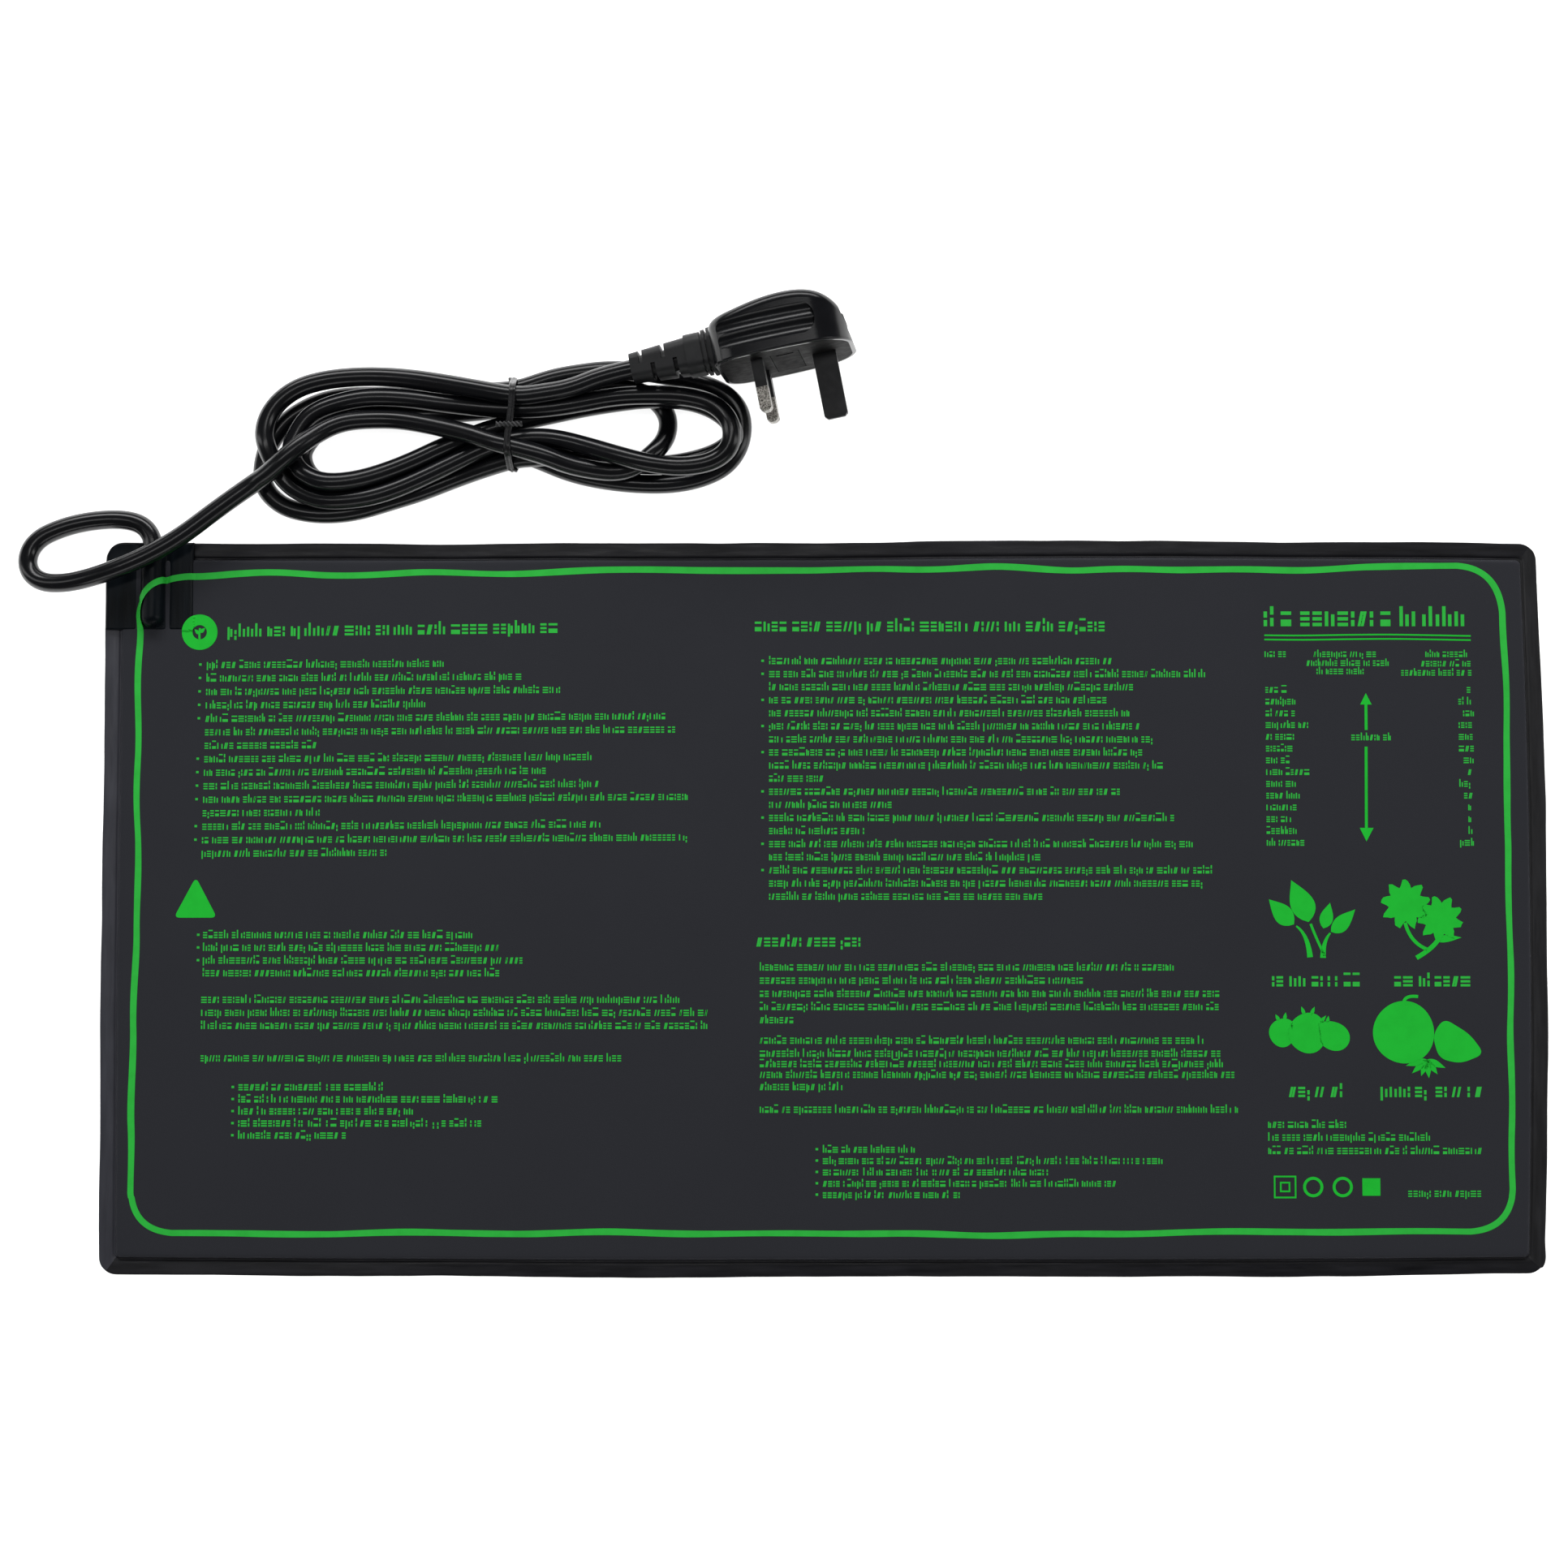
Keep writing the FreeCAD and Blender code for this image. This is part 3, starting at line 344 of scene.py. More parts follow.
def sheet_rings(name, profile, materials, lift=True):
    """A film made of rings round the mat, closed below by one face and above by a strip grid."""
    points, faces, kinds = [], [], []
    for inset, height in profile:
        for x, y in outline_ring(inset):
            z = height + (rim_lift(x, y, inset) if lift else 0.0)
            if height == PANEL:
                z += swell(x, y)
            points.append((*moved_edge(x, y, inset), z))
    count = len(outline_ring(0.0))
    for k in range(len(profile) - 1):
        on_rim = profile[k][0] < 6.2 and profile[k + 1][0] < 6.2
        for i in range(count):
            j = (i + 1) % count
            faces.append((k * count + i, k * count + j, (k + 1) * count + j, (k + 1) * count + i))
            x, y, _ = points[k * count + i]
            long_side = (HALF_Y - abs(y)) < (HALF_X - abs(x))
            # each side's rim takes its own copy of the rim material, toned as painted light and shade
            kinds.append(0 if not on_rim else 1 if long_side else 2 if x > 0 else 3)
    faces.append(tuple(reversed(range(count))))
    kinds.append(0)
    last = (len(profile) - 1) * count
    top = [last + CORNER_STEPS + i for i in range(LONG_STEPS + 1)]
    skip = 2 * CORNER_STEPS + LONG_STEPS + SHORT_STEPS
    low = [last + skip + CORNER_STEPS + i for i in range(LONG_STEPS + 1)]
    low = [p if p < last + count else p - count for p in low]
    for i in range(LONG_STEPS):
        faces.append((top[i], top[i + 1], low[LONG_STEPS - i - 1], low[LONG_STEPS - i]))
        kinds.append(0)
    faces.append(tuple(range(top[-1], low[0] + 1)))
    faces.append(tuple(range(low[-1], last + count)) + tuple(range(last, top[0] + 1)))
    kinds += [0, 0]
    return add_mesh(name, points, faces, materials, kinds)


top_film = sheet_rings("top_film", PROFILE, SHEET_MATERIALS)
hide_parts("top_cover")

UNDER = [      # the lower film in the same terms, from the middle of its underside
    (120.0, 0.0), (60.0, 0.0), (14.0, 0.0), (2.0, 0.0), (0.4, 0.0), (0.12, 0.04), (0.0, 0.14),
    (0.0, 0.36), (0.10, 0.46), (0.4, 0.5), (6.0, 0.5), (14.0, 0.5), (60.0, 0.5), (116.4, 0.5),
]
bottom_film = sheet_rings("bottom_film", UNDER, SHEET_MATERIALS, lift=False)
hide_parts("bottom_cover")


# ---- the corner patch ----

def smooth_max(a, b, blend):
    h = max(0.0, min(1.0, 0.5 + 0.5 * (a - b) / blend))
    return b + (a - b) * h + blend * h * (1 - h)


def patch_height(x, y):
    """Top of the patch: a plate, the rib over the cord, shallow grooves beside it and the cord's mouth."""
    across = x - ENTRY_X
    plate = (PATCH_TOP - 0.35 * math.exp(-((across + 5.2) / 0.9) ** 2)
             - 0.45 * math.exp(-((across - 5.0) / 0.8) ** 2))
    plate += 0.06 * wobble(x, y / 4, 7, 6)
    if y > MOUTH_Y:
        if abs(across) < 3.35:
            return min(plate, ENTRY_Z - math.sqrt(3.42 ** 2 - across ** 2))
        return plate
    beyond = max(0.0, 100.9 - y)
    reach = 4.0 ** 2 - across ** 2 - beyond ** 2
    if reach <= 0:
        return plate
    return smooth_max(ENTRY_Z + math.sqrt(reach), plate, 0.8)


def patch_mesh():
    """A grid over the patch, denser at its edges, with the mat's rounded corner."""
    fine = [0.0, 0.06, 0.18, 0.36, 0.6, 0.9]
    left, right, low, high = -250.15, PATCH_X, PATCH_Y, 127.15
    xs = ([left + f for f in fine] + [left + 0.9 + 0.4 * i for i in range(1, 72)]
          + [right - f for f in fine[::-1]])
    xs = sorted(x for x in xs if left <= x <= right)
    ys = ([low + f for f in fine] + [low + 0.9 + 0.45 * i for i in range(1, 58)]
          + [MOUTH_Y - 0.02, MOUTH_Y + 0.12])
    ys = sorted([y for y in ys if y < high - 1.0] + [high - f for f in fine])
    points = []
    for y in ys:
        for x in xs:
            u, v = (left + CORNER - x) / CORNER, (y - high + CORNER) / CORNER
            px, py = x, y
            edge = min(x - left, right - x, y - low, high - y)
            if u > 0 and v > 0:
                mu, mv = u * math.sqrt(1 - v * v / 2), v * math.sqrt(1 - u * u / 2)
                px, py = left + CORNER - CORNER * mu, high - CORNER + CORNER * mv
                edge = CORNER - CORNER * math.hypot(mu, mv)
            z = patch_height(px, py)
            if edge < 0.9:
                fall = 1.0 - math.sqrt(max(0.0, 1 - (1 - edge / 0.9) ** 2))
                inner = min(right - x, y - low) <= edge + 1e-9
                z -= fall * (0.35 if inner else 1.1)
            points.append((px, py, max(z, PATCH_BASE + 0.05)))
    nx, ny = len(xs), len(ys)
    faces = [(r * nx + c, r * nx + c + 1, (r + 1) * nx + c + 1, (r + 1) * nx + c)
             for r in range(ny - 1) for c in range(nx - 1)]
    border = ([c for c in range(nx)] + [r * nx + nx - 1 for r in range(1, ny)]
              + [(ny - 1) * nx + c for c in range(nx - 2, -1, -1)] + [r * nx for r in range(ny - 2, 0, -1)])
    base = len(points)
    points += [(points[b][0], points[b][1], PATCH_BASE) for b in border]
    count = len(border)
    for i in range(count):
        j = (i + 1) % count
        faces.append((border[j], border[i], base + i, base + j))
    faces.append(tuple(base + i for i in reversed(range(count))))
    return add_mesh("moulded_patch", points, faces, [PATCH])


patch = patch_mesh()
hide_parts("entry_patch")


# ---- the print ----

def surface(x, y):
    """Height that ink lies at: on the patch and just past its edge, the highest point close by."""
    if x < PATCH_X + 0.4 and y > PATCH_Y - 0.4:
        return max(patch_height(x + step, y) for step in (-0.4, 0.0, 0.4)) + 0.16
    return PANEL + swell(x, y) + 0.012


class Print:
    """Thin closed pieces of ink on the surface, gathered into one mesh."""

    def __init__(self):
        self.points = []
        self.faces = []

    def block(self, corners, thick=0.05):
        """A flat shape with convex or mildly concave outline, counter-clockwise."""
        first, count = len(self.points), len(corners)
        for x, y in corners:
            self.points.append((x, y, surface(x, y) + thick))
        for x, y in corners:
            self.points.append((x, y, surface(x, y) - 0.02))
        self.faces.append(tuple(range(first, first + count)))
        self.faces.append(tuple(reversed(range(first + count, first + 2 * count))))
        for i in range(count):
            j = (i + 1) % count
            self.faces.append((first + j, first + i, first + count + i, first + count + j))

    def bar(self, x, y, width, height):
        self.block([(x, y), (x + width, y), (x + width, y + height), (x, y + height)])

    def ribbon(self, path, width, closed=False, across=6, thick=0.06):
        """A strip of even or listed width along a path, following the surface."""
        count = len(path)
        first = len(self.points)
        widths = width if isinstance(width, list) else [width] * count
        for layer in (thick, -0.03):
            for i, (x, y) in enumerate(path):
                ax, ay = path[i - 1] if closed or i else path[i]
                bx, by = path[(i + 1) % count] if closed or i < count - 1 else path[i]
                size = math.hypot(bx - ax, by - ay)
                nx, ny = -(by - ay) / size, (bx - ax) / size
                for k in range(across + 1):
                    t = (k / across - 0.5) * widths[i]
                    self.points.append((x + nx * t, y + ny * t, surface(x + nx * t, y + ny * t) + layer))
        row = across + 1
        under = first + count * row
        spans = count if closed else count - 1
        for i in range(spans):
            j = (i + 1) % count
            for k in range(across):
                a, b = first + i * row + k, first + j * row + k
                self.faces.append((a, b, b + 1, a + 1))
                a, b = under + i * row + k, under + j * row + k
                self.faces.append((a + 1, b + 1, b, a))
            a, b = first + i * row, first + j * row
            c, d = under + i * row, under + j * row
            self.faces.append((b, a, c, d))
            self.faces.append((a + across, b + across, d + across, c + across))
        if not closed:
            for i in (0, count - 1):
                cap = ([first + i * row + k for k in range(row)]
                       + [under + i * row + k for k in reversed(range(row))])
                self.faces.append(tuple(cap if i else reversed(cap)))

    def mark(self, rng, x, y, width, size, stroke):
        """One mark that is no letter: a broken post, two posts, three dashes, two slants or a block."""
        low = 0.74 * size
        height = size if rng.random() < 0.28 else low
        foot = y - 0.24 * size if height == low and rng.random() < 0.12 else y
        if width < 2.2 * stroke:
            self.bar(x, foot, stroke, 0.42 * height)
            self.bar(x, foot + 0.58 * height, stroke, 0.42 * height)
            return
        kind = rng.choice(("posts", "dashes", "slants", "block", "posts", "dashes"))
        if kind == "posts":
            self.bar(x, foot, stroke, y + height - foot)
            self.bar(x + width - stroke, y, stroke, 0.8 * low)
        elif kind == "dashes":
            for k in range(3):
                self.bar(x, y + 0.5 * k * (low - stroke), width, stroke)
        elif kind == "slants":
            for start in (x, x + width - 1.9 * stroke):
                self.block([(start, y), (start + stroke, y), (start + 1.9 * stroke, y + low),
                            (start + 0.9 * stroke, y + low)])
        else:
            self.bar(x, y, width, 0.45 * low)
            self.bar(x, y + height - stroke, width, stroke)

    def marks(self, rng, x, y, length, size, bold=1.0, rise=0.0):
        """A row of marks in groups the size of words, which may climb a little."""
        start, end = x, x + length
        stroke = (0.13 * bold + 0.03) * size
        while x < end - 0.4 * size:
            for _ in range(rng.choice((2, 3, 3, 4, 4, 5, 6, 7, 8))):
                width = size * rng.choice((0.14, 0.36, 0.44, 0.46, 0.48, 0.50, 0.66)) * (0.5 + 0.5 * bold)
                if x + width > end + 0.3 * size:
                    break
                self.mark(rng, x, y + rise * (x - start), width, size, stroke)
                x += max(width, stroke) + 0.15 * size
            x += 0.30 * size

    def done(self, name, material):
        return add_mesh(name, self.points, self.faces, [material], smooth=False)


OUTLINE_CORNERS = [     # each corner of the printed outline, and how far back its curve begins
    ((-237.2, 115.6), 15.5), ((-238.6, -112.6), 14.0), ((238.8, -112.2), 15.0), ((237.6, 118.3), 16.0),
]
SWAYS = [     # where the printed outline leans out: place, reach, and how far along x and y
    ((-237, 78), 18, -1.2, 0.0), ((-236, 103), 6, -0.9, 0.0), ((-237, -55), 22, -0.7, 0.0),
    ((0, 116), 75, 0.0, 1.3), ((60, -113), 55, 0.0, -1.0), ((238, -3), 20, 0.8, 0.0),
]


def frame_path():
    """The printed outline: a rounded rectangle that wanders a little, as a drawn line does."""
    path = []
    for k, ((x, y), radius) in enumerate(OUTLINE_CORNERS):
        (px, py), (nx, ny) = OUTLINE_CORNERS[k - 1][0], OUTLINE_CORNERS[(k + 1) % 4][0]
        here = Vector((x, y))
        towards = [(Vector(q) - here).normalized() for q in ((px, py), (nx, ny))]
        start, end = here + towards[0] * radius, here + towards[1] * radius
        for i in range(41):
            t = i / 40
            arc = (1 - t) ** 2 * start + 2 * t * (1 - t) * here + t * t * end
            full = here + (start + end - 2 * here) * (1 - math.cos(math.pi / 4))
            mix = 4 * t * (1 - t)
            path.append(arc + (full - (0.25 * start + 0.5 * here + 0.25 * end)) * mix * 0.85)
        following = OUTLINE_CORNERS[(k + 1) % 4]
        stop = Vector(following[0]) + (here - Vector(following[0])).normalized() * following[1]
        steps = int((stop - end).length / 1.2)
        path += [end.lerp(stop, i / steps) for i in range(1, steps)]
    drawn = []
    for p in path:
        sway = 0.35 if p.y < -100 else 0.75
        x, y = p.x + sway * wobble(p.x, p.y, 33, 7), p.y + sway * wobble(p.y, p.x, 33, 8)
        for (cx, cy), reach, dx, dy in SWAYS:
            near = math.exp(-((p.x - cx) ** 2 + (p.y - cy) ** 2) / reach ** 2)
            x, y = x + dx * near, y + dy * near
        drawn.append((x, y))
    return drawn


border = Print()
edge_path = frame_path()
border.ribbon(edge_path, [2.2 + 0.15 * wobble(x, y, 18, 9) for x, y in edge_path], closed=True, across=8)
printed_border = border.done("printed_border", INK)

rng = random.Random(7)
words = Print()
words.marks(rng, -207.4, 94.0, 118.0, 4.6, 1.05, 0.012)
for k, (indent, length) in enumerate([
        (0, 84), (0, 110), (0, 123), (0, 76), (0, 162), (3, 163), (3, 39), (0, 137), (0, 120), (0, 138),
        (0, 168), (3, 41), (0, 139), (0, 170), (3, 65)]):
    y = 83.0 - 4.70 * k
    if not indent:
        words.bar(-217.2 - 0.08 * k, y + 0.9, 0.9, 0.8)
    words.marks(rng, -214.5 - 0.08 * k, y, length, 2.9, rise=0.006)
for y, length in ((-11.0, 93), (-15.4, 105), (-19.8, 110), (-24.2, 105)):
    if y > -20:
        words.bar(-216.9, y + 0.8, 0.9, 0.8)
    words.marks(rng, -214.8, y, length, 2.9)
for y, length in ((-33.4, 166), (-37.9, 175), (-42.4, 176), (-53.6, 145)):
    words.marks(rng, -215.2, y, length, 2.9)
for k, length in enumerate((51, 90, 60, 85, 38)):
    words.bar(-204.4, -62.8 - 4.15 * k, 0.9, 0.8)
    words.marks(rng, -202.0, -63.6 - 4.15 * k, length, 2.9, 1.1)

words.marks(rng, -23.4, 95.9, 121.0, 4.6, 1.05)
for k, (mark, length) in enumerate([
        (1, 119), (1, 153), (0, 128), (1, 117), (0, 125), (1, 129), (0, 133), (1, 130), (0, 137), (0, 19),
        (1, 122), (0, 42), (1, 141), (0, 34), (1, 148), (0, 95), (1, 153), (0, 150), (0, 96)]):
    y = 84.4 - 4.56 * k
    if mark:
        words.bar(-21.1, y + 0.8, 0.9, 0.8)
    words.marks(rng, -18.4, y, length, 2.9)
words.marks(rng, -22.8, -13.9, 36.0, 4.2, 1.05)
for k, length in enumerate((145, 113, 159, 159, 13)):
    words.marks(rng, -21.6, -22.2 - 4.56 * k, length, 2.9)
for y, length in ((-47.5, 153), (-52.0, 160), (-55.6, 161), (-59.3, 164), (-63.5, 29), (-71.3, 166)):
    words.marks(rng, -21.6, y, length, 2.9)
for k, length in enumerate((32, 117, 77, 101, 48)):
    words.bar(-2.3, -84.2 - 3.9 * k, 0.9, 0.8)
    words.marks(rng, 0.2, -85.0 - 3.9 * k, length, 2.7, 1.1)

words.marks(rng, 154.2, 97.7, 72.0, 7.0, 1.1)
words.marks(rng, 154.4, 86.9, 8.2, 2.7)
for y, x, length in ((86.9, 171.5, 21), (83.8, 169.0, 28), (80.9, 172.5, 17),
                     (86.9, 210.5, 16), (83.6, 209.0, 18), (80.4, 202.0, 25)):
    words.marks(rng, x, y, length, 2.6)
for k, length in enumerate((7, 10, 11, 14, 12, 9, 9, 15, 10, 11, 10, 9, 10, 15)):
    y = 74.4 - 4.10 * k
    words.marks(rng, 154.6, y, length, 2.7)
    value = rng.choice((1.6, 1.6, 3.0, 4.6))
    words.marks(rng, 226.4 - value, y, value, 2.7)
words.marks(rng, 184.4, 57.8, 14.5, 2.7)
for x, y, length in ((156.0, -27.7, 29.0), (198.4, -27.7, 25.0), (161.5, -65.9, 17.5), (193.2, -65.9, 34.0)):
    words.marks(rng, x, y, length, 4.8, 1.1)
for y, length in ((-76.5, 26.5), (-80.9, 56.0), (-85.5, 74.5)):
    words.marks(rng, 154.2, y, length, 2.9)
words.marks(rng, 202.4, -100.2, 25.5, 2.9)
printed_words = words.done("printed_words", INK)


# ---- pictograms of our own ----

def disc(x, y, rx, ry=None, steps=40, turn=0.0, squash=0.0):
    """A circle or ellipse; squash makes one end fuller."""
    ry = rx if ry is None else ry
    shape = []
    for i in range(steps):
        a = 2 * math.pi * i / steps
        u, v = rx * math.cos(a), ry * math.sin(a) * (1 + squash * math.cos(a))
        shape.append((x + u * math.cos(turn) - v * math.sin(turn),
                      y + u * math.sin(turn) + v * math.cos(turn)))
    return shape


def leaf(x, y, length, width, angle, bend=0.25):
    """A pointed leaf from its foot at (x, y)."""
    shape = []
    for side in (1, -1):
        for i in range(13):
            t = i / 12 if side == 1 else 1 - i / 12
            half = 0.5 * width * math.sin(math.pi * t ** 0.8) * (1 - 0.25 * t)
            u = length * t
            v = -side * half + bend * length * t * t * 0.5
            shape.append((u, v))
    shape = [p for k, p in enumerate(shape) if k == 0 or math.dist(p, shape[k - 1]) > 0.05]
    if math.dist(shape[0], shape[-1]) < 0.05:
        shape.pop()
    c, s = math.cos(math.radians(angle)), math.sin(math.radians(angle))
    return [(x + u * c - v * s, y + u * s + v * c) for u, v in shape]


def bent(x0, y0, x1, y1, x2, y2, steps=10):
    """Points of a curve from the first place to the last, drawn towards the middle one."""
    return [((1 - t) ** 2 * x0 + 2 * t * (1 - t) * x1 + t * t * x2,
             (1 - t) ** 2 * y0 + 2 * t * (1 - t) * y1 + t * t * y2)
            for t in (i / steps for i in range(steps + 1))]


def rounded(corners, setback):
    """A polygon with its corners cut to curves."""
    shape = []
    for k, here in enumerate(corners):
        (ax, ay), (bx, by) = [Vector(here).lerp(Vector(other), setback / math.dist(here, other))
                              for other in (corners[k - 1], corners[(k + 1) % len(corners)])]
        shape += bent(ax, ay, *here, bx, by, 6)
    return shape


icons = Print()
# heading disc: one ring of ink, with a sprout drawn in ink inside its hole
icons.ribbon(disc(-217.1, 95.6, 4.35, steps=48), 3.7, closed=True, across=10)
icons.ribbon(bent(-217.1, 93.0, -217.3, 95.0, -217.0, 97.0), 0.7, across=2)
icons.block(leaf(-217.0, 95.5, 2.4, 1.4, 35))
icons.block(leaf(-217.1, 95.0, 2.4, 1.4, 145, -0.25))
# plain triangle beside the second block of marks
icons.block(rounded([(-217.5, 10.2), (-225.0, -3.9), (-210.0, -3.9)], 2.2))
# double rule under the title
for y in (94.6, 93.1):
    icons.ribbon([(154.4 + 4 * i, y + 0.25 * wobble(4 * i, y, 30, 10)) for i in range(19)], 0.55, across=1)
# arrows of the table
icons.ribbon([(189.6, 61.4), (189.6, 70.5)], 1.0, across=1)
icons.block([(187.6, 70.3), (191.6, 70.3), (189.6, 74.3)])
icons.ribbon([(189.5, 55.6), (189.3, 27.0)], 1.0, across=1)
icons.block([(187.0, 27.3), (189.3, 22.6), (191.8, 27.3)])

# seedlings
for x, y, length, width, angle, bend in (
        (168.9, -5.4, 15.6, 9.4, 106, 0.22), (163.8, -6.2, 12.2, 7.4, 140, -0.18),
        (174.0, -7.6, 9.2, 5.2, 72, 0.1), (176.6, -8.8, 11.4, 6.0, 34, 0.3)):
    icons.block(leaf(x, y, length, width, angle, bend))
icons.ribbon(bent(164.6, -6.8, 168.6, -9.6, 169.3, -17.6), [0.6 + 0.14 * i for i in range(11)], across=2)
icons.ribbon(bent(169.6, -6.0, 171.0, -10.0, 174.4, -17.2), 0.9, across=2)
icons.ribbon(bent(176.4, -9.2, 173.8, -12.0, 173.8, -17.8), [0.6 + 0.14 * i for i in range(11)], across=2)
# two open flowers on one stalk, their petals of uneven length
for cx, cy, r, petals, start in ((202.6, 0.8, 8.4, 9, 10), (214.6, -4.2, 7.8, 9, 24)):
    petal_tips = []
    for i in range(6 * petals):
        beat = 0.5 + 0.5 * math.cos(2 * math.pi * i / 6)
        out = r * (0.70 + 0.34 * beat ** 0.8 * (1 + 0.22 * math.sin(2.6 * i)))
        a = math.radians(start + 60 * i / petals)
        petal_tips.append((cx + out * math.cos(a), cy + out * math.sin(a)))
    icons.block(petal_tips)
icons.ribbon(bent(202.4, -5.6, 204.0, -12.5, 210.0, -14.9), 1.2, across=2)
icons.ribbon(bent(214.6, -10.0, 213.0, -14.0, 206.2, -17.8), 1.6, across=2)
icons.block(leaf(212.6, -11.8, 9.4, 2.8, 12, -0.2))
# berries
for x, y, rx, ry, turn in ((159.4, -43.6, 4.6, 5.0, -0.3), (168.0, -43.8, 6.6, 7.0, 0.0),
                           (176.6, -44.6, 6.4, 4.8, -0.45)):
    icons.block(disc(x, y, rx, ry, 36, turn, 0.12))
for x, y, size, angle in ((158.4, -39.6, 2.6, 120), (160.2, -39.4, 2.8, 80), (167.2, -37.6, 3.2, 110),
                          (169.4, -37.6, 3.2, 66), (172.6, -40.2, 3.2, 50), (175.0, -40.6, 2.8, 80)):
    icons.block(leaf(x, y, size, 1.4, angle, 0.0))
# a round squash, half a root and its greens
icons.block(disc(201.4, -43.6, 10.6, 10.8, 56, 0.2, 0.05))
icons.ribbon(bent(201.6, -33.4, 201.8, -30.6, 206.6, -31.2), 1.1, across=2)
icons.block(rounded([(215.4, -38.6), (211.4, -44.6), (213.6, -52.6), (221.0, -54.4), (229.4, -51.0),
                     (224.4, -44.2)], 3.2)[::-1])
for angle, size in ((196, 7.6), (222, 7.0), (250, 6.0), (276, 6.4), (306, 6.2), (336, 7.0)):
    icons.block(leaf(209.4, -53.0, size, 2.6, angle, 0.0))
# plain shapes in place of the marks at the foot
for size in (3.6, 1.5):
    icons.ribbon([(159.9 - size, -96.8 - size), (159.9 + size, -96.8 - size), (159.9 + size, -96.8 + size),
                  (159.9 - size, -96.8 + size)], 0.8, closed=True, across=1)
for x in (169.6, 179.8):
    icons.ribbon(disc(x, -96.8, 3.0, steps=32), 1.0, closed=True, across=2)
icons.block([(186.6, -99.8), (192.8, -99.8), (192.8, -93.8), (186.6, -93.8)])
printed_icons = icons.done("printed_icons", ICON_INK)


# ---- the cord ----

# The plan of EXIT is that of part.py's route for power_cord; its heights round the loop are lower.
EXIT = [      # from the patch, round the small loop, over the patch's rib to the hank
    (-233.4, 123.5, 3.8), (-233.4, 127.0, 3.8), (-234.7, 130.4, 3.8), (-237.2, 133.0, 3.7),
    (-241.1, 134.6, 3.6), (-247.1, 135.2, 3.5), (-255.0, 134.6, 3.4), (-262.8, 133.0, 3.4),
    (-269.6, 130.4, 3.5), (-273.2, 128.2, 3.7), (-275.7, 125.3, 4.0), (-276.9, 122.0, 4.4),
    (-276.8, 118.5, 4.9), (-275.2, 115.4, 5.6), (-272.4, 113.3, 6.4), (-268.2, 112.1, 7.4),
    (-260.8, 112.2, 9.0), (-252.0, 114.1, 10.8), (-243.0, 117.1, 11.9), (-233.0, 121.4, 12.0),
    (-222.0, 127.8, 11.8), (-208.0, 138.6, 11.6), (-197.0, 146.4, 11.5),
]
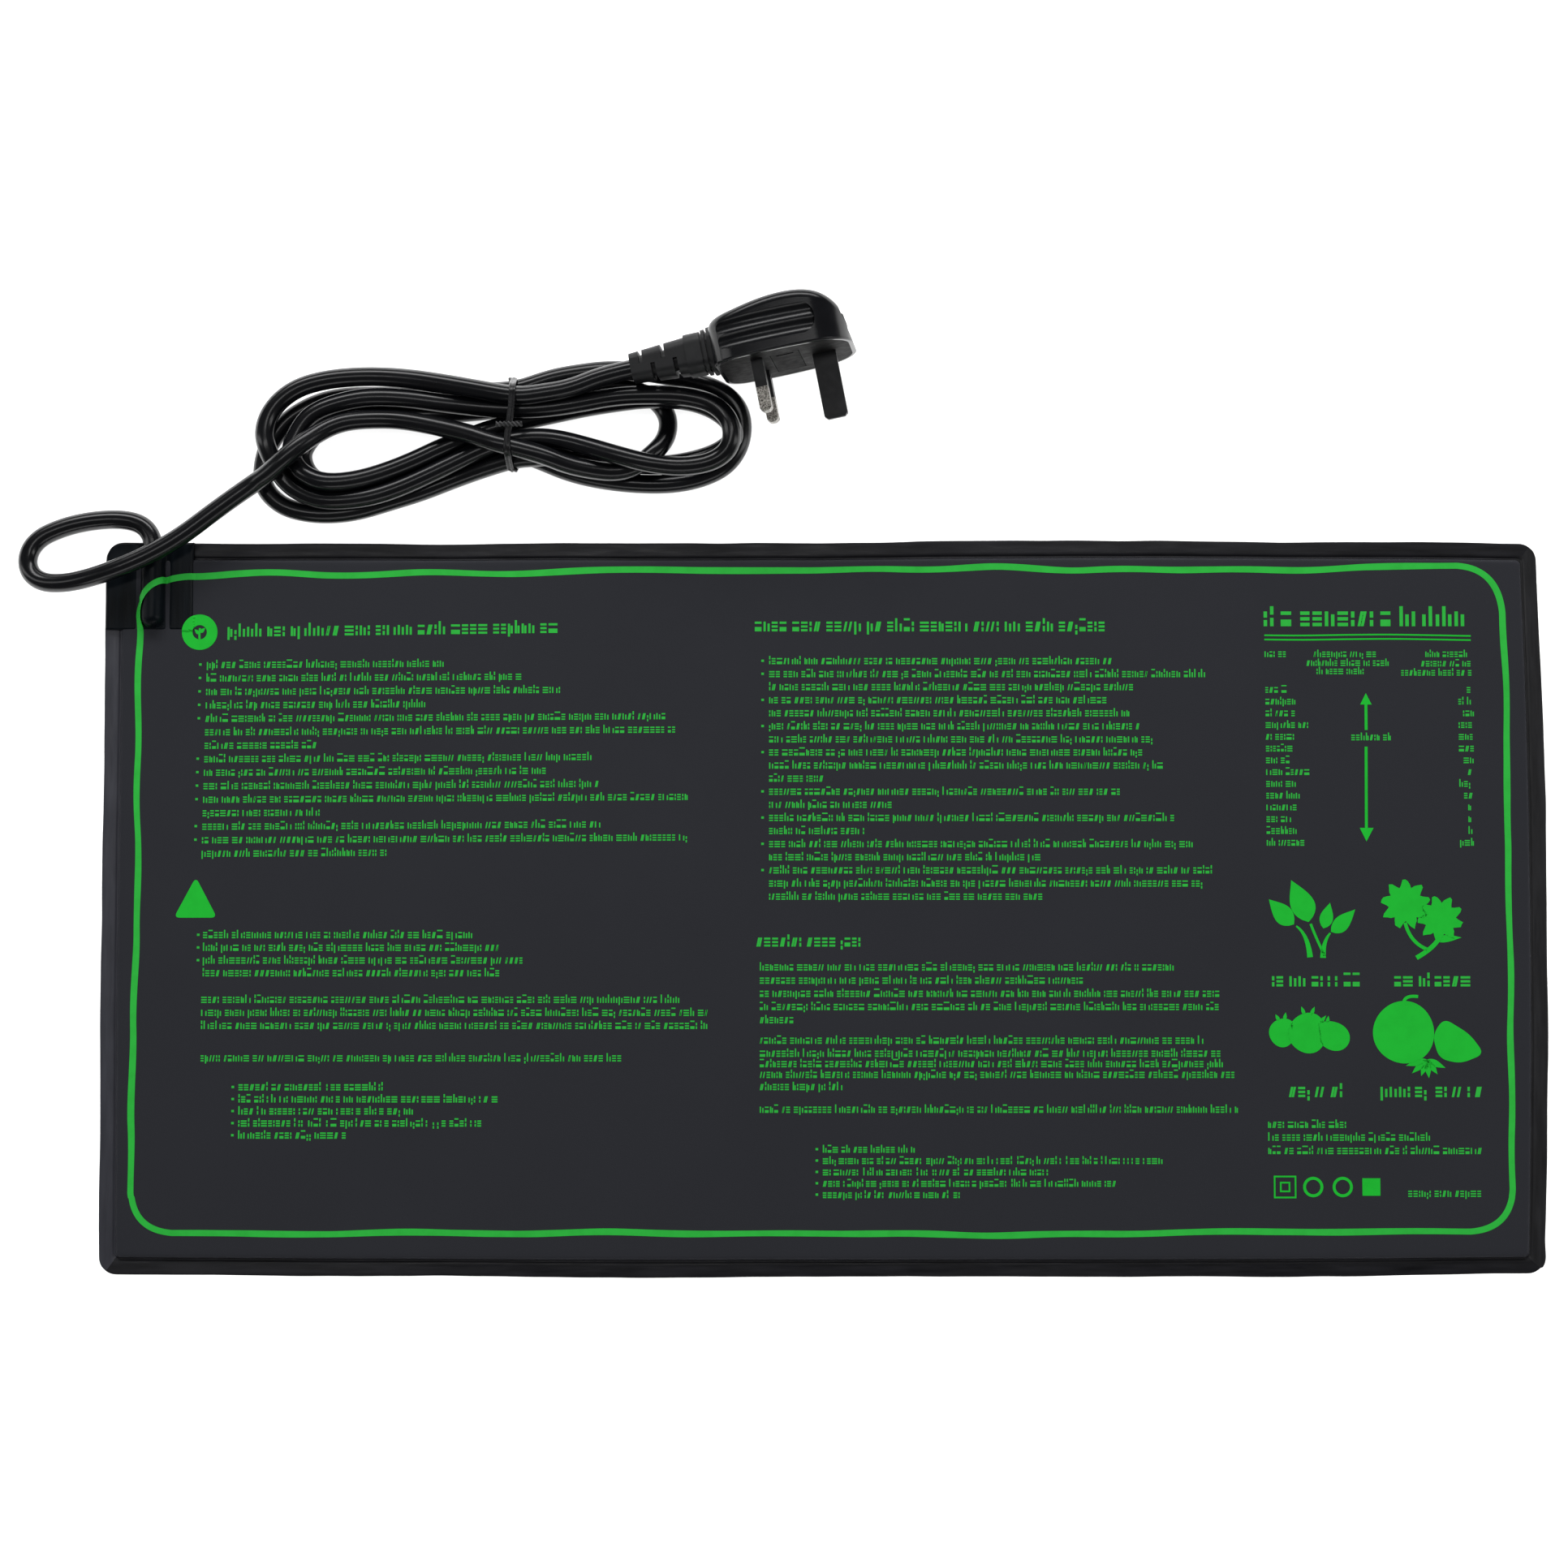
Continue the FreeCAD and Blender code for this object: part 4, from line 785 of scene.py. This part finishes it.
# TURNS was read off the photograph by eye and turned into millimetres by a scratch script, which
# printed this table. A loop below only settles it. report.md names this as a departure.
TURNS = [     # the hank's turns in order
    (-192, 149, 13), (-186, 154, 15), (-180.5, 159, 14), (-175.5, 163, 11), (-170, 166.5, 9),
    (-163.5, 168.5, 8), (-153.5, 169, 8), (-145, 168.5, 9), (-133, 166, 11), (-121.5, 163, 13),
    (-114, 160, 15), (-105.5, 158, 16.5), (-96, 155.5, 14.5), (-88, 152.5, 12), (-79.5, 151, 10),
    (-71.5, 150.5, 9.5), (-64.5, 152.5, 7.5), (-59, 156.5, 5), (-55, 161.5, 3.5), (-53.5, 166.5, 3.5),
    (-54, 171.5, 3.5), (-57, 176, 3.5), (-62.5, 180, 3.5), (-70.5, 182, 3.5), (-80.5, 181.5, 3.5),
    (-91.5, 179.5, 3.5), (-106.5, 176, 4.4), (-117, 173.5, 4), (-128.5, 172.5, 3.5), (-140, 172, 3.5),
    (-151.5, 172, 3.5), (-161, 171.5, 3.5), (-169.5, 169.5, 3.5), (-176, 166.5, 3.5), (-180, 162, 3.5),
    (-182, 158, 3.5), (-181, 153.5, 3.5), (-178, 149.5, 3.5), (-172.5, 147, 3.5), (-162.5, 146.5, 3.5),
    (-151, 149.5, 3.5), (-140, 154, 3.5), (-128.5, 157.5, 3.5), (-117, 158.5, 4), (-106.5, 158, 4.4),
    (-98.5, 156, 3.8), (-88.5, 152, 3.5), (-77.5, 149, 3.5), (-64.5, 147.5, 3.5), (-52, 147.5, 3.5),
    (-42, 149.5, 3.5), (-34, 153.5, 3.5), (-29.5, 159.5, 3.5), (-27.5, 166.5, 3.5), (-28.5, 173.5, 3.5),
    (-33, 179, 3.5), (-40.5, 182.5, 3.5), (-52, 185, 3.5), (-63, 186.5, 3.5), (-74.5, 186.5, 3.5),
    (-84.5, 185.5, 3.5), (-94.5, 183.5, 3.5), (-106.5, 180, 4.4), (-120, 179, 3.8), (-131.5, 178.5, 3.5),
    (-143, 178.5, 3.5), (-154, 178.5, 3.5), (-165.5, 178.5, 3.5), (-174, 177, 3.5), (-181, 174, 3.5),
    (-187, 170, 3.5), (-191, 165, 3.5), (-194, 160, 3.5), (-195.5, 154, 3.5), (-195.5, 148, 3.5),
    (-193, 143.5, 3.5), (-188, 139.5, 3.5), (-181, 137.5, 3.5), (-172.5, 137, 3.5), (-162.5, 138, 3.5),
    (-151, 141.5, 3.5), (-139.5, 145, 3.5), (-128.5, 149.5, 3.5), (-117, 153.5, 4), (-106.5, 155, 4.4),
    (-100, 156, 5), (-91.5, 156.5, 6), (-83, 156, 5), (-71.5, 155, 4.5), (-60, 154, 5), (-49, 154.5, 5),
    (-37.5, 157, 6.5), (-31.5, 160.5, 9), (-30, 164, 9.5), (-32.5, 169, 9), (-39, 173.5, 9.5),
    (-48, 176, 10), (-60, 176.5, 9.9), (-71.5, 175.5, 8), (-83, 174, 7), (-94, 172, 8),
    (-106, 169.5, 10.6), (-116.5, 166, 10), (-123.5, 162.5, 9), (-132, 159, 8), (-140.5, 155, 8),
    (-149, 151.5, 9), (-158.5, 148, 9.7), (-167, 146, 9.9), (-174, 146.5, 9.9), (-180.5, 149.5, 9.9),
    (-184, 154, 9.9), (-184.5, 159.5, 9.9), (-182.5, 164.5, 9.9), (-179, 170, 9.9), (-173, 173.5, 9.9),
    (-164, 176, 9.9), (-156, 177, 9.9), (-144.5, 176.5, 9.9), (-133.5, 175, 10), (-119, 173.5, 10.4),
    (-106, 172.5, 10.6), (-96.5, 173, 11), (-85.5, 174.5, 12), (-71, 176.5, 13.5), (-57, 176.5, 16),
    (-47, 176, 16), (-38.5, 174, 15.5), (-33, 169.5, 15.5), (-31, 164.5, 15.5), (-31.5, 159, 15),
    (-35, 155, 13), (-41, 152.5, 11.5), (-50, 151.5, 11.5), (-60, 152.5, 12), (-69.5, 155, 12),
    (-80, 158.5, 9), (-90, 161, 8), (-98, 162, 9), (-106, 161.5, 10.4), (-112.5, 160.5, 9),
    (-119.5, 158, 6), (-128, 154, 5), (-136.5, 150, 5), (-145, 146, 6), (-153, 143, 8),
    (-161.5, 141.5, 9.5), (-172.5, 141, 9.9), (-179.5, 143, 9.9), (-186, 147.5, 10), (-190.5, 154, 10),
    (-193, 159.5, 10), (-194, 164.5, 10), (-192.5, 170.5, 10), (-188.5, 176, 10), (-182, 180.5, 10),
    (-173, 183, 10), (-163, 184, 10), (-153, 184, 10), (-142, 183, 10), (-130.5, 181, 11),
    (-119, 178.5, 13), (-105.5, 175.5, 16.4),
]
LEAD = [(-97.5, 176.8, 16.4), (-86.5, 178.6, 16.6), (-75.7, 182.8, 18.0), (-65.4, 184.8, 19.1)]


def spline_weights(count, steps):
    """Each row gives a place on a quadratic B-spline as a mix of its control points."""
    rows = np.zeros(((count - 2) * steps, count))
    for row, mix in enumerate(rows):
        t = row % steps / steps
        mix[row // steps:row // steps + 3] = 0.5 * (1 - t) ** 2, 0.5 + t - t * t, 0.5 * t * t
    return rows


def laid_turns():
    """Lets the turns settle: they keep their place in plan, push each other apart and sink."""
    points = np.array(EXIT + TURNS + LEAD, float)
    home = points.copy()
    order = np.arange(len(points))
    free = (order >= len(EXIT)) & (order < len(EXIT) + len(TURNS))
    weights = spline_weights(len(points), 3)
    spread = weights.T / weights.sum(0)[:, None]
    place = weights @ order
    gap = CORD + 0.1
    for step in range(400):
        bend = np.zeros_like(points)
        bend[1:-1] = 0.5 * (points[:-2] + points[2:]) - points[1:-1]
        points[free] += (bend[free] * (0, 0, 0.25) + (home[free] - points[free]) * (0.3, 0.3, 0.02)
                         - (0, 0, 0.03))
        if step % 10 == 0:
            line = weights @ points
            apart = np.linalg.norm(line[:, None] - line[None], axis=2)
            one, other = np.where((apart < 2 * CORD) & (place[None] - place[:, None] > 3))
        for _ in range(3):
            line = weights @ points
            across = line[one] - line[other]
            apart = np.linalg.norm(across, axis=1)[:, None] + 1e-9
            push = across / apart * np.maximum(gap - apart, 0) * (0.3, 0.3, 0.6)
            move = np.zeros_like(line)
            touches = np.zeros(len(line))
            for end, sign in ((one, 1), (other, -1)):
                np.add.at(move, end, sign * push)
                np.add.at(touches, end, apart[:, 0] < gap)
            move /= np.sqrt(np.maximum(touches, 1))[:, None]
            points[free] += np.clip(2 * (spread @ move)[free], -0.6, 0.6)
            tied = free & (np.abs(points[:, 0] - TIE_X) < 6)
            points[tied, 1] = np.clip(points[tied, 1], *TIE_Y)
            points[tied, 2] = np.clip(points[tied, 2], *TIE_Z)
            points[free, 2] = np.maximum(points[free, 2], 0.5 * CORD + 0.03)
    return points


def cord_curve(control):
    """The one free cord, as a spline with these control points."""
    curve = bpy.data.curves.new("mains_cord", "CURVE")
    curve.dimensions = "3D"
    curve.resolution_u = 5
    curve.bevel_depth = 0.5 * CORD * MM
    curve.bevel_resolution = 7
    curve.use_fill_caps = True
    spline = curve.splines.new("NURBS")
    spline.points.add(len(control) - 1)
    for point, (x, y, z) in zip(spline.points, control):
        point.co = (x * MM, y * MM, z * MM, 1.0)
    spline.order_u = 3
    spline.use_endpoint_u = True
    spline.resolution_u = 5
    curve.materials.append(SHEATH)
    piece = bpy.data.objects.new("mains_cord", curve)
    bpy.context.scene.collection.objects.link(piece)
    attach(piece, MAT)
    return piece


mains_cord = cord_curve(laid_turns())
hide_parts("power_cord", "cord_hank", "power_cord_plug_end")


# ---- the tie ----

def centre_line(cord):
    """Points along the cord's spline."""
    bare = cord.data.copy()
    bare.bevel_depth = 0.0
    guide = bpy.data.objects.new("cord_guide", bare)
    mesh = bpy.data.meshes.new_from_object(guide)
    line = [tuple(v.co / MM) for v in mesh.vertices]
    bpy.data.meshes.remove(mesh)
    bpy.data.objects.remove(guide)
    bpy.data.curves.remove(bare)
    return line


def tie_path():
    """A closed loop round the turns where they cross the tie's plane."""
    around = []
    line = centre_line(mains_cord)
    for a, b in zip(line, line[1:]):
        if (a[0] - TIE_X) * (b[0] - TIE_X) <= 0:
            t = (TIE_X - a[0]) / (b[0] - a[0])
            y, z = a[1] + (b[1] - a[1]) * t, a[2] + (b[2] - a[2]) * t
            around += [(y + 3.5 * math.cos(math.radians(s)), max(0.35, z + 3.5 * math.sin(math.radians(s))))
                       for s in range(0, 360, 12)]
    around = sorted(set(around))

    def half(points):
        hull = []
        for p in points:
            while len(hull) > 1 and ((hull[-1][0] - hull[-2][0]) * (p[1] - hull[-2][1])
                                     - (hull[-1][1] - hull[-2][1]) * (p[0] - hull[-2][0])) <= 0:
                hull.pop()
            hull.append(p)
        return hull[:-1]

    return half(around) + half(around[::-1])


loop = tie_path()


def band(name, loop, width, thick):
    """A flat ribbon with two wires in its edges, wound once round the turns."""
    dense = []
    for i, (y, z) in enumerate(loop):
        ny, nz = loop[(i + 1) % len(loop)]
        steps = max(1, int(math.hypot(ny - y, nz - z) / 1.0))
        dense += [(y + (ny - y) * k / steps, z + (nz - z) * k / steps) for k in range(steps)]
    cy = sum(p[0] for p in dense) / len(dense)
    cz = sum(p[1] for p in dense) / len(dense)
    section = [(-0.5, 0.0), (-0.5, 0.55), (-0.40, 0.95), (-0.24, 1.0), (-0.12, 0.72),
               (0.12, 0.72), (0.24, 1.0), (0.40, 0.95), (0.5, 0.55), (0.5, 0.0)]
    points, faces = [], []
    for k, (y, z) in enumerate(dense):
        ay, az = dense[k - 1]
        by, bz = dense[(k + 1) % len(dense)]
        size = math.hypot(by - ay, bz - az)
        oy, oz = (bz - az) / size, -(by - ay) / size
        lean = 0.8 * math.sin(0.16 * (y - cy)) * (1 if z > cz else -1)
        for u, v in section:
            points.append((TIE_X + lean + u * width, y + oy * thick * v, max(0.02, z + oz * thick * v)))
    n, m = len(dense), len(section)
    for k in range(n):
        j = (k + 1) % n
        for i in range(m):
            i2 = (i + 1) % m
            faces.append((k * m + i, k * m + i2, j * m + i2, j * m + i))
    return add_mesh(name, points, faces, [TIE])


tie_band = band("tie_band", loop, 2.3, 0.8)
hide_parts("cord_tie")


def twisted_ends():
    """The tie's two ends, twisted together and lying across the band."""
    high = max(z for _, z in loop) + 0.5
    points, faces = [], []
    for start in (0.0, math.pi):
        base = len(points)
        for k in range(37):
            a = start + 0.55 * k
            middle = Vector((TIE_X - 4.6 + 0.25 * k, 165.4 + 0.5 * math.cos(a), high + 0.4 * math.sin(a)))
            points += [tuple(middle + Vector((0, 0.5 * math.cos(t), 0.5 * math.sin(t))))
                       for t in (math.pi * i / 5 for i in range(10))]
        for k in range(36):
            row = base + 10 * k
            faces += [(row + i, row + 10 + i, row + 10 + (i + 1) % 10, row + (i + 1) % 10) for i in range(10)]
        faces.append(tuple(base + i for i in range(10)))
        faces.append(tuple(base + 360 + i for i in reversed(range(10))))
    return add_mesh("tie_ends", points, faces, [TIE_TIPS])


tie_ends = twisted_ends()


# ---- floor, light and camera ----

def floor():
    mesh = bpy.data.meshes.new("floor")
    half, z = 4, -0.0005
    corners = [(-half, -half, z), (half, -half, z), (half, half, z), (-half, half, z)]
    mesh.from_pydata(corners, [], [(0, 1, 2, 3)])
    white = Surface("paper_white", (0.88, 0.88, 0.88), 0.9, specular=0.1)
    white.colours(white.grain(400, 1), [(0.3, (0.87, 0.87, 0.87)), (0.7, (0.90, 0.90, 0.90))])
    mesh.materials.append(white.material)
    piece = bpy.data.objects.new("floor", mesh)
    bpy.context.scene.collection.objects.link(piece)
    return piece


def softbox(name, place, target, width, height, power):
    light = bpy.data.lights.new(name, "AREA")
    light.shape = "RECTANGLE"
    light.size = width
    light.size_y = height
    light.energy = power
    lamp = bpy.data.objects.new(name, light)
    lamp.location = place
    lamp.rotation_euler = (Vector(target) - Vector(place)).to_track_quat("-Z", "Y").to_euler()
    bpy.context.scene.collection.objects.link(lamp)
    return lamp


paper = floor()
softbox("north", (0.0, 1.75, 1.05), (0, 0.1, 0), 2.6, 0.5, 25)
softbox("overhead", (-0.12, 0.35, 1.9), (0, 0.05, 0), 1.6, 0.18, 4.0)
softbox("east", (1.7, -0.1, 0.95), (0, 0.05, 0), 0.5, 1.6, 5)
softbox("west", (-1.8, 0.2, 0.95), (0, 0.05, 0), 0.4, 1.6, 4)
softbox("south", (0.2, -1.7, 0.9), (0, 0.0, 0), 2.2, 0.4, 5)
backdrop = softbox("backdrop", (0, 0, 2.6), (0, 0, 0), 3.6, 3.6, 128)
lit = bpy.data.collections.new("lit_by_backdrop")
lit.objects.link(paper)
backdrop.light_linking.receiver_collection = lit
backdrop.light_linking.blocker_collection = lit
world = bpy.data.worlds.new("studio")
bpy.context.scene.world = world
world.use_nodes = True
world.node_tree.nodes["Background"].inputs["Color"].default_value = (1.0, 1.0, 1.0, 1.0)
world.node_tree.nodes["Background"].inputs["Strength"].default_value = 0.08
bpy.context.scene.view_settings.view_transform = "Standard"

TILT = math.radians(2.7)
AIM = Vector((-0.0132, 0.0427, 0.0))
camera = bpy.data.cameras.new("camera")
camera.sensor_width = 36.0
camera.lens = 59.2
camera.clip_start = 0.02
view = bpy.data.objects.new("camera", camera)
view.location = AIM + 0.9 * Vector((0.0, -math.sin(TILT), math.cos(TILT)))
view.rotation_euler = (TILT, 0.0, 0.0)
bpy.context.scene.collection.objects.link(view)
bpy.context.scene.camera = view
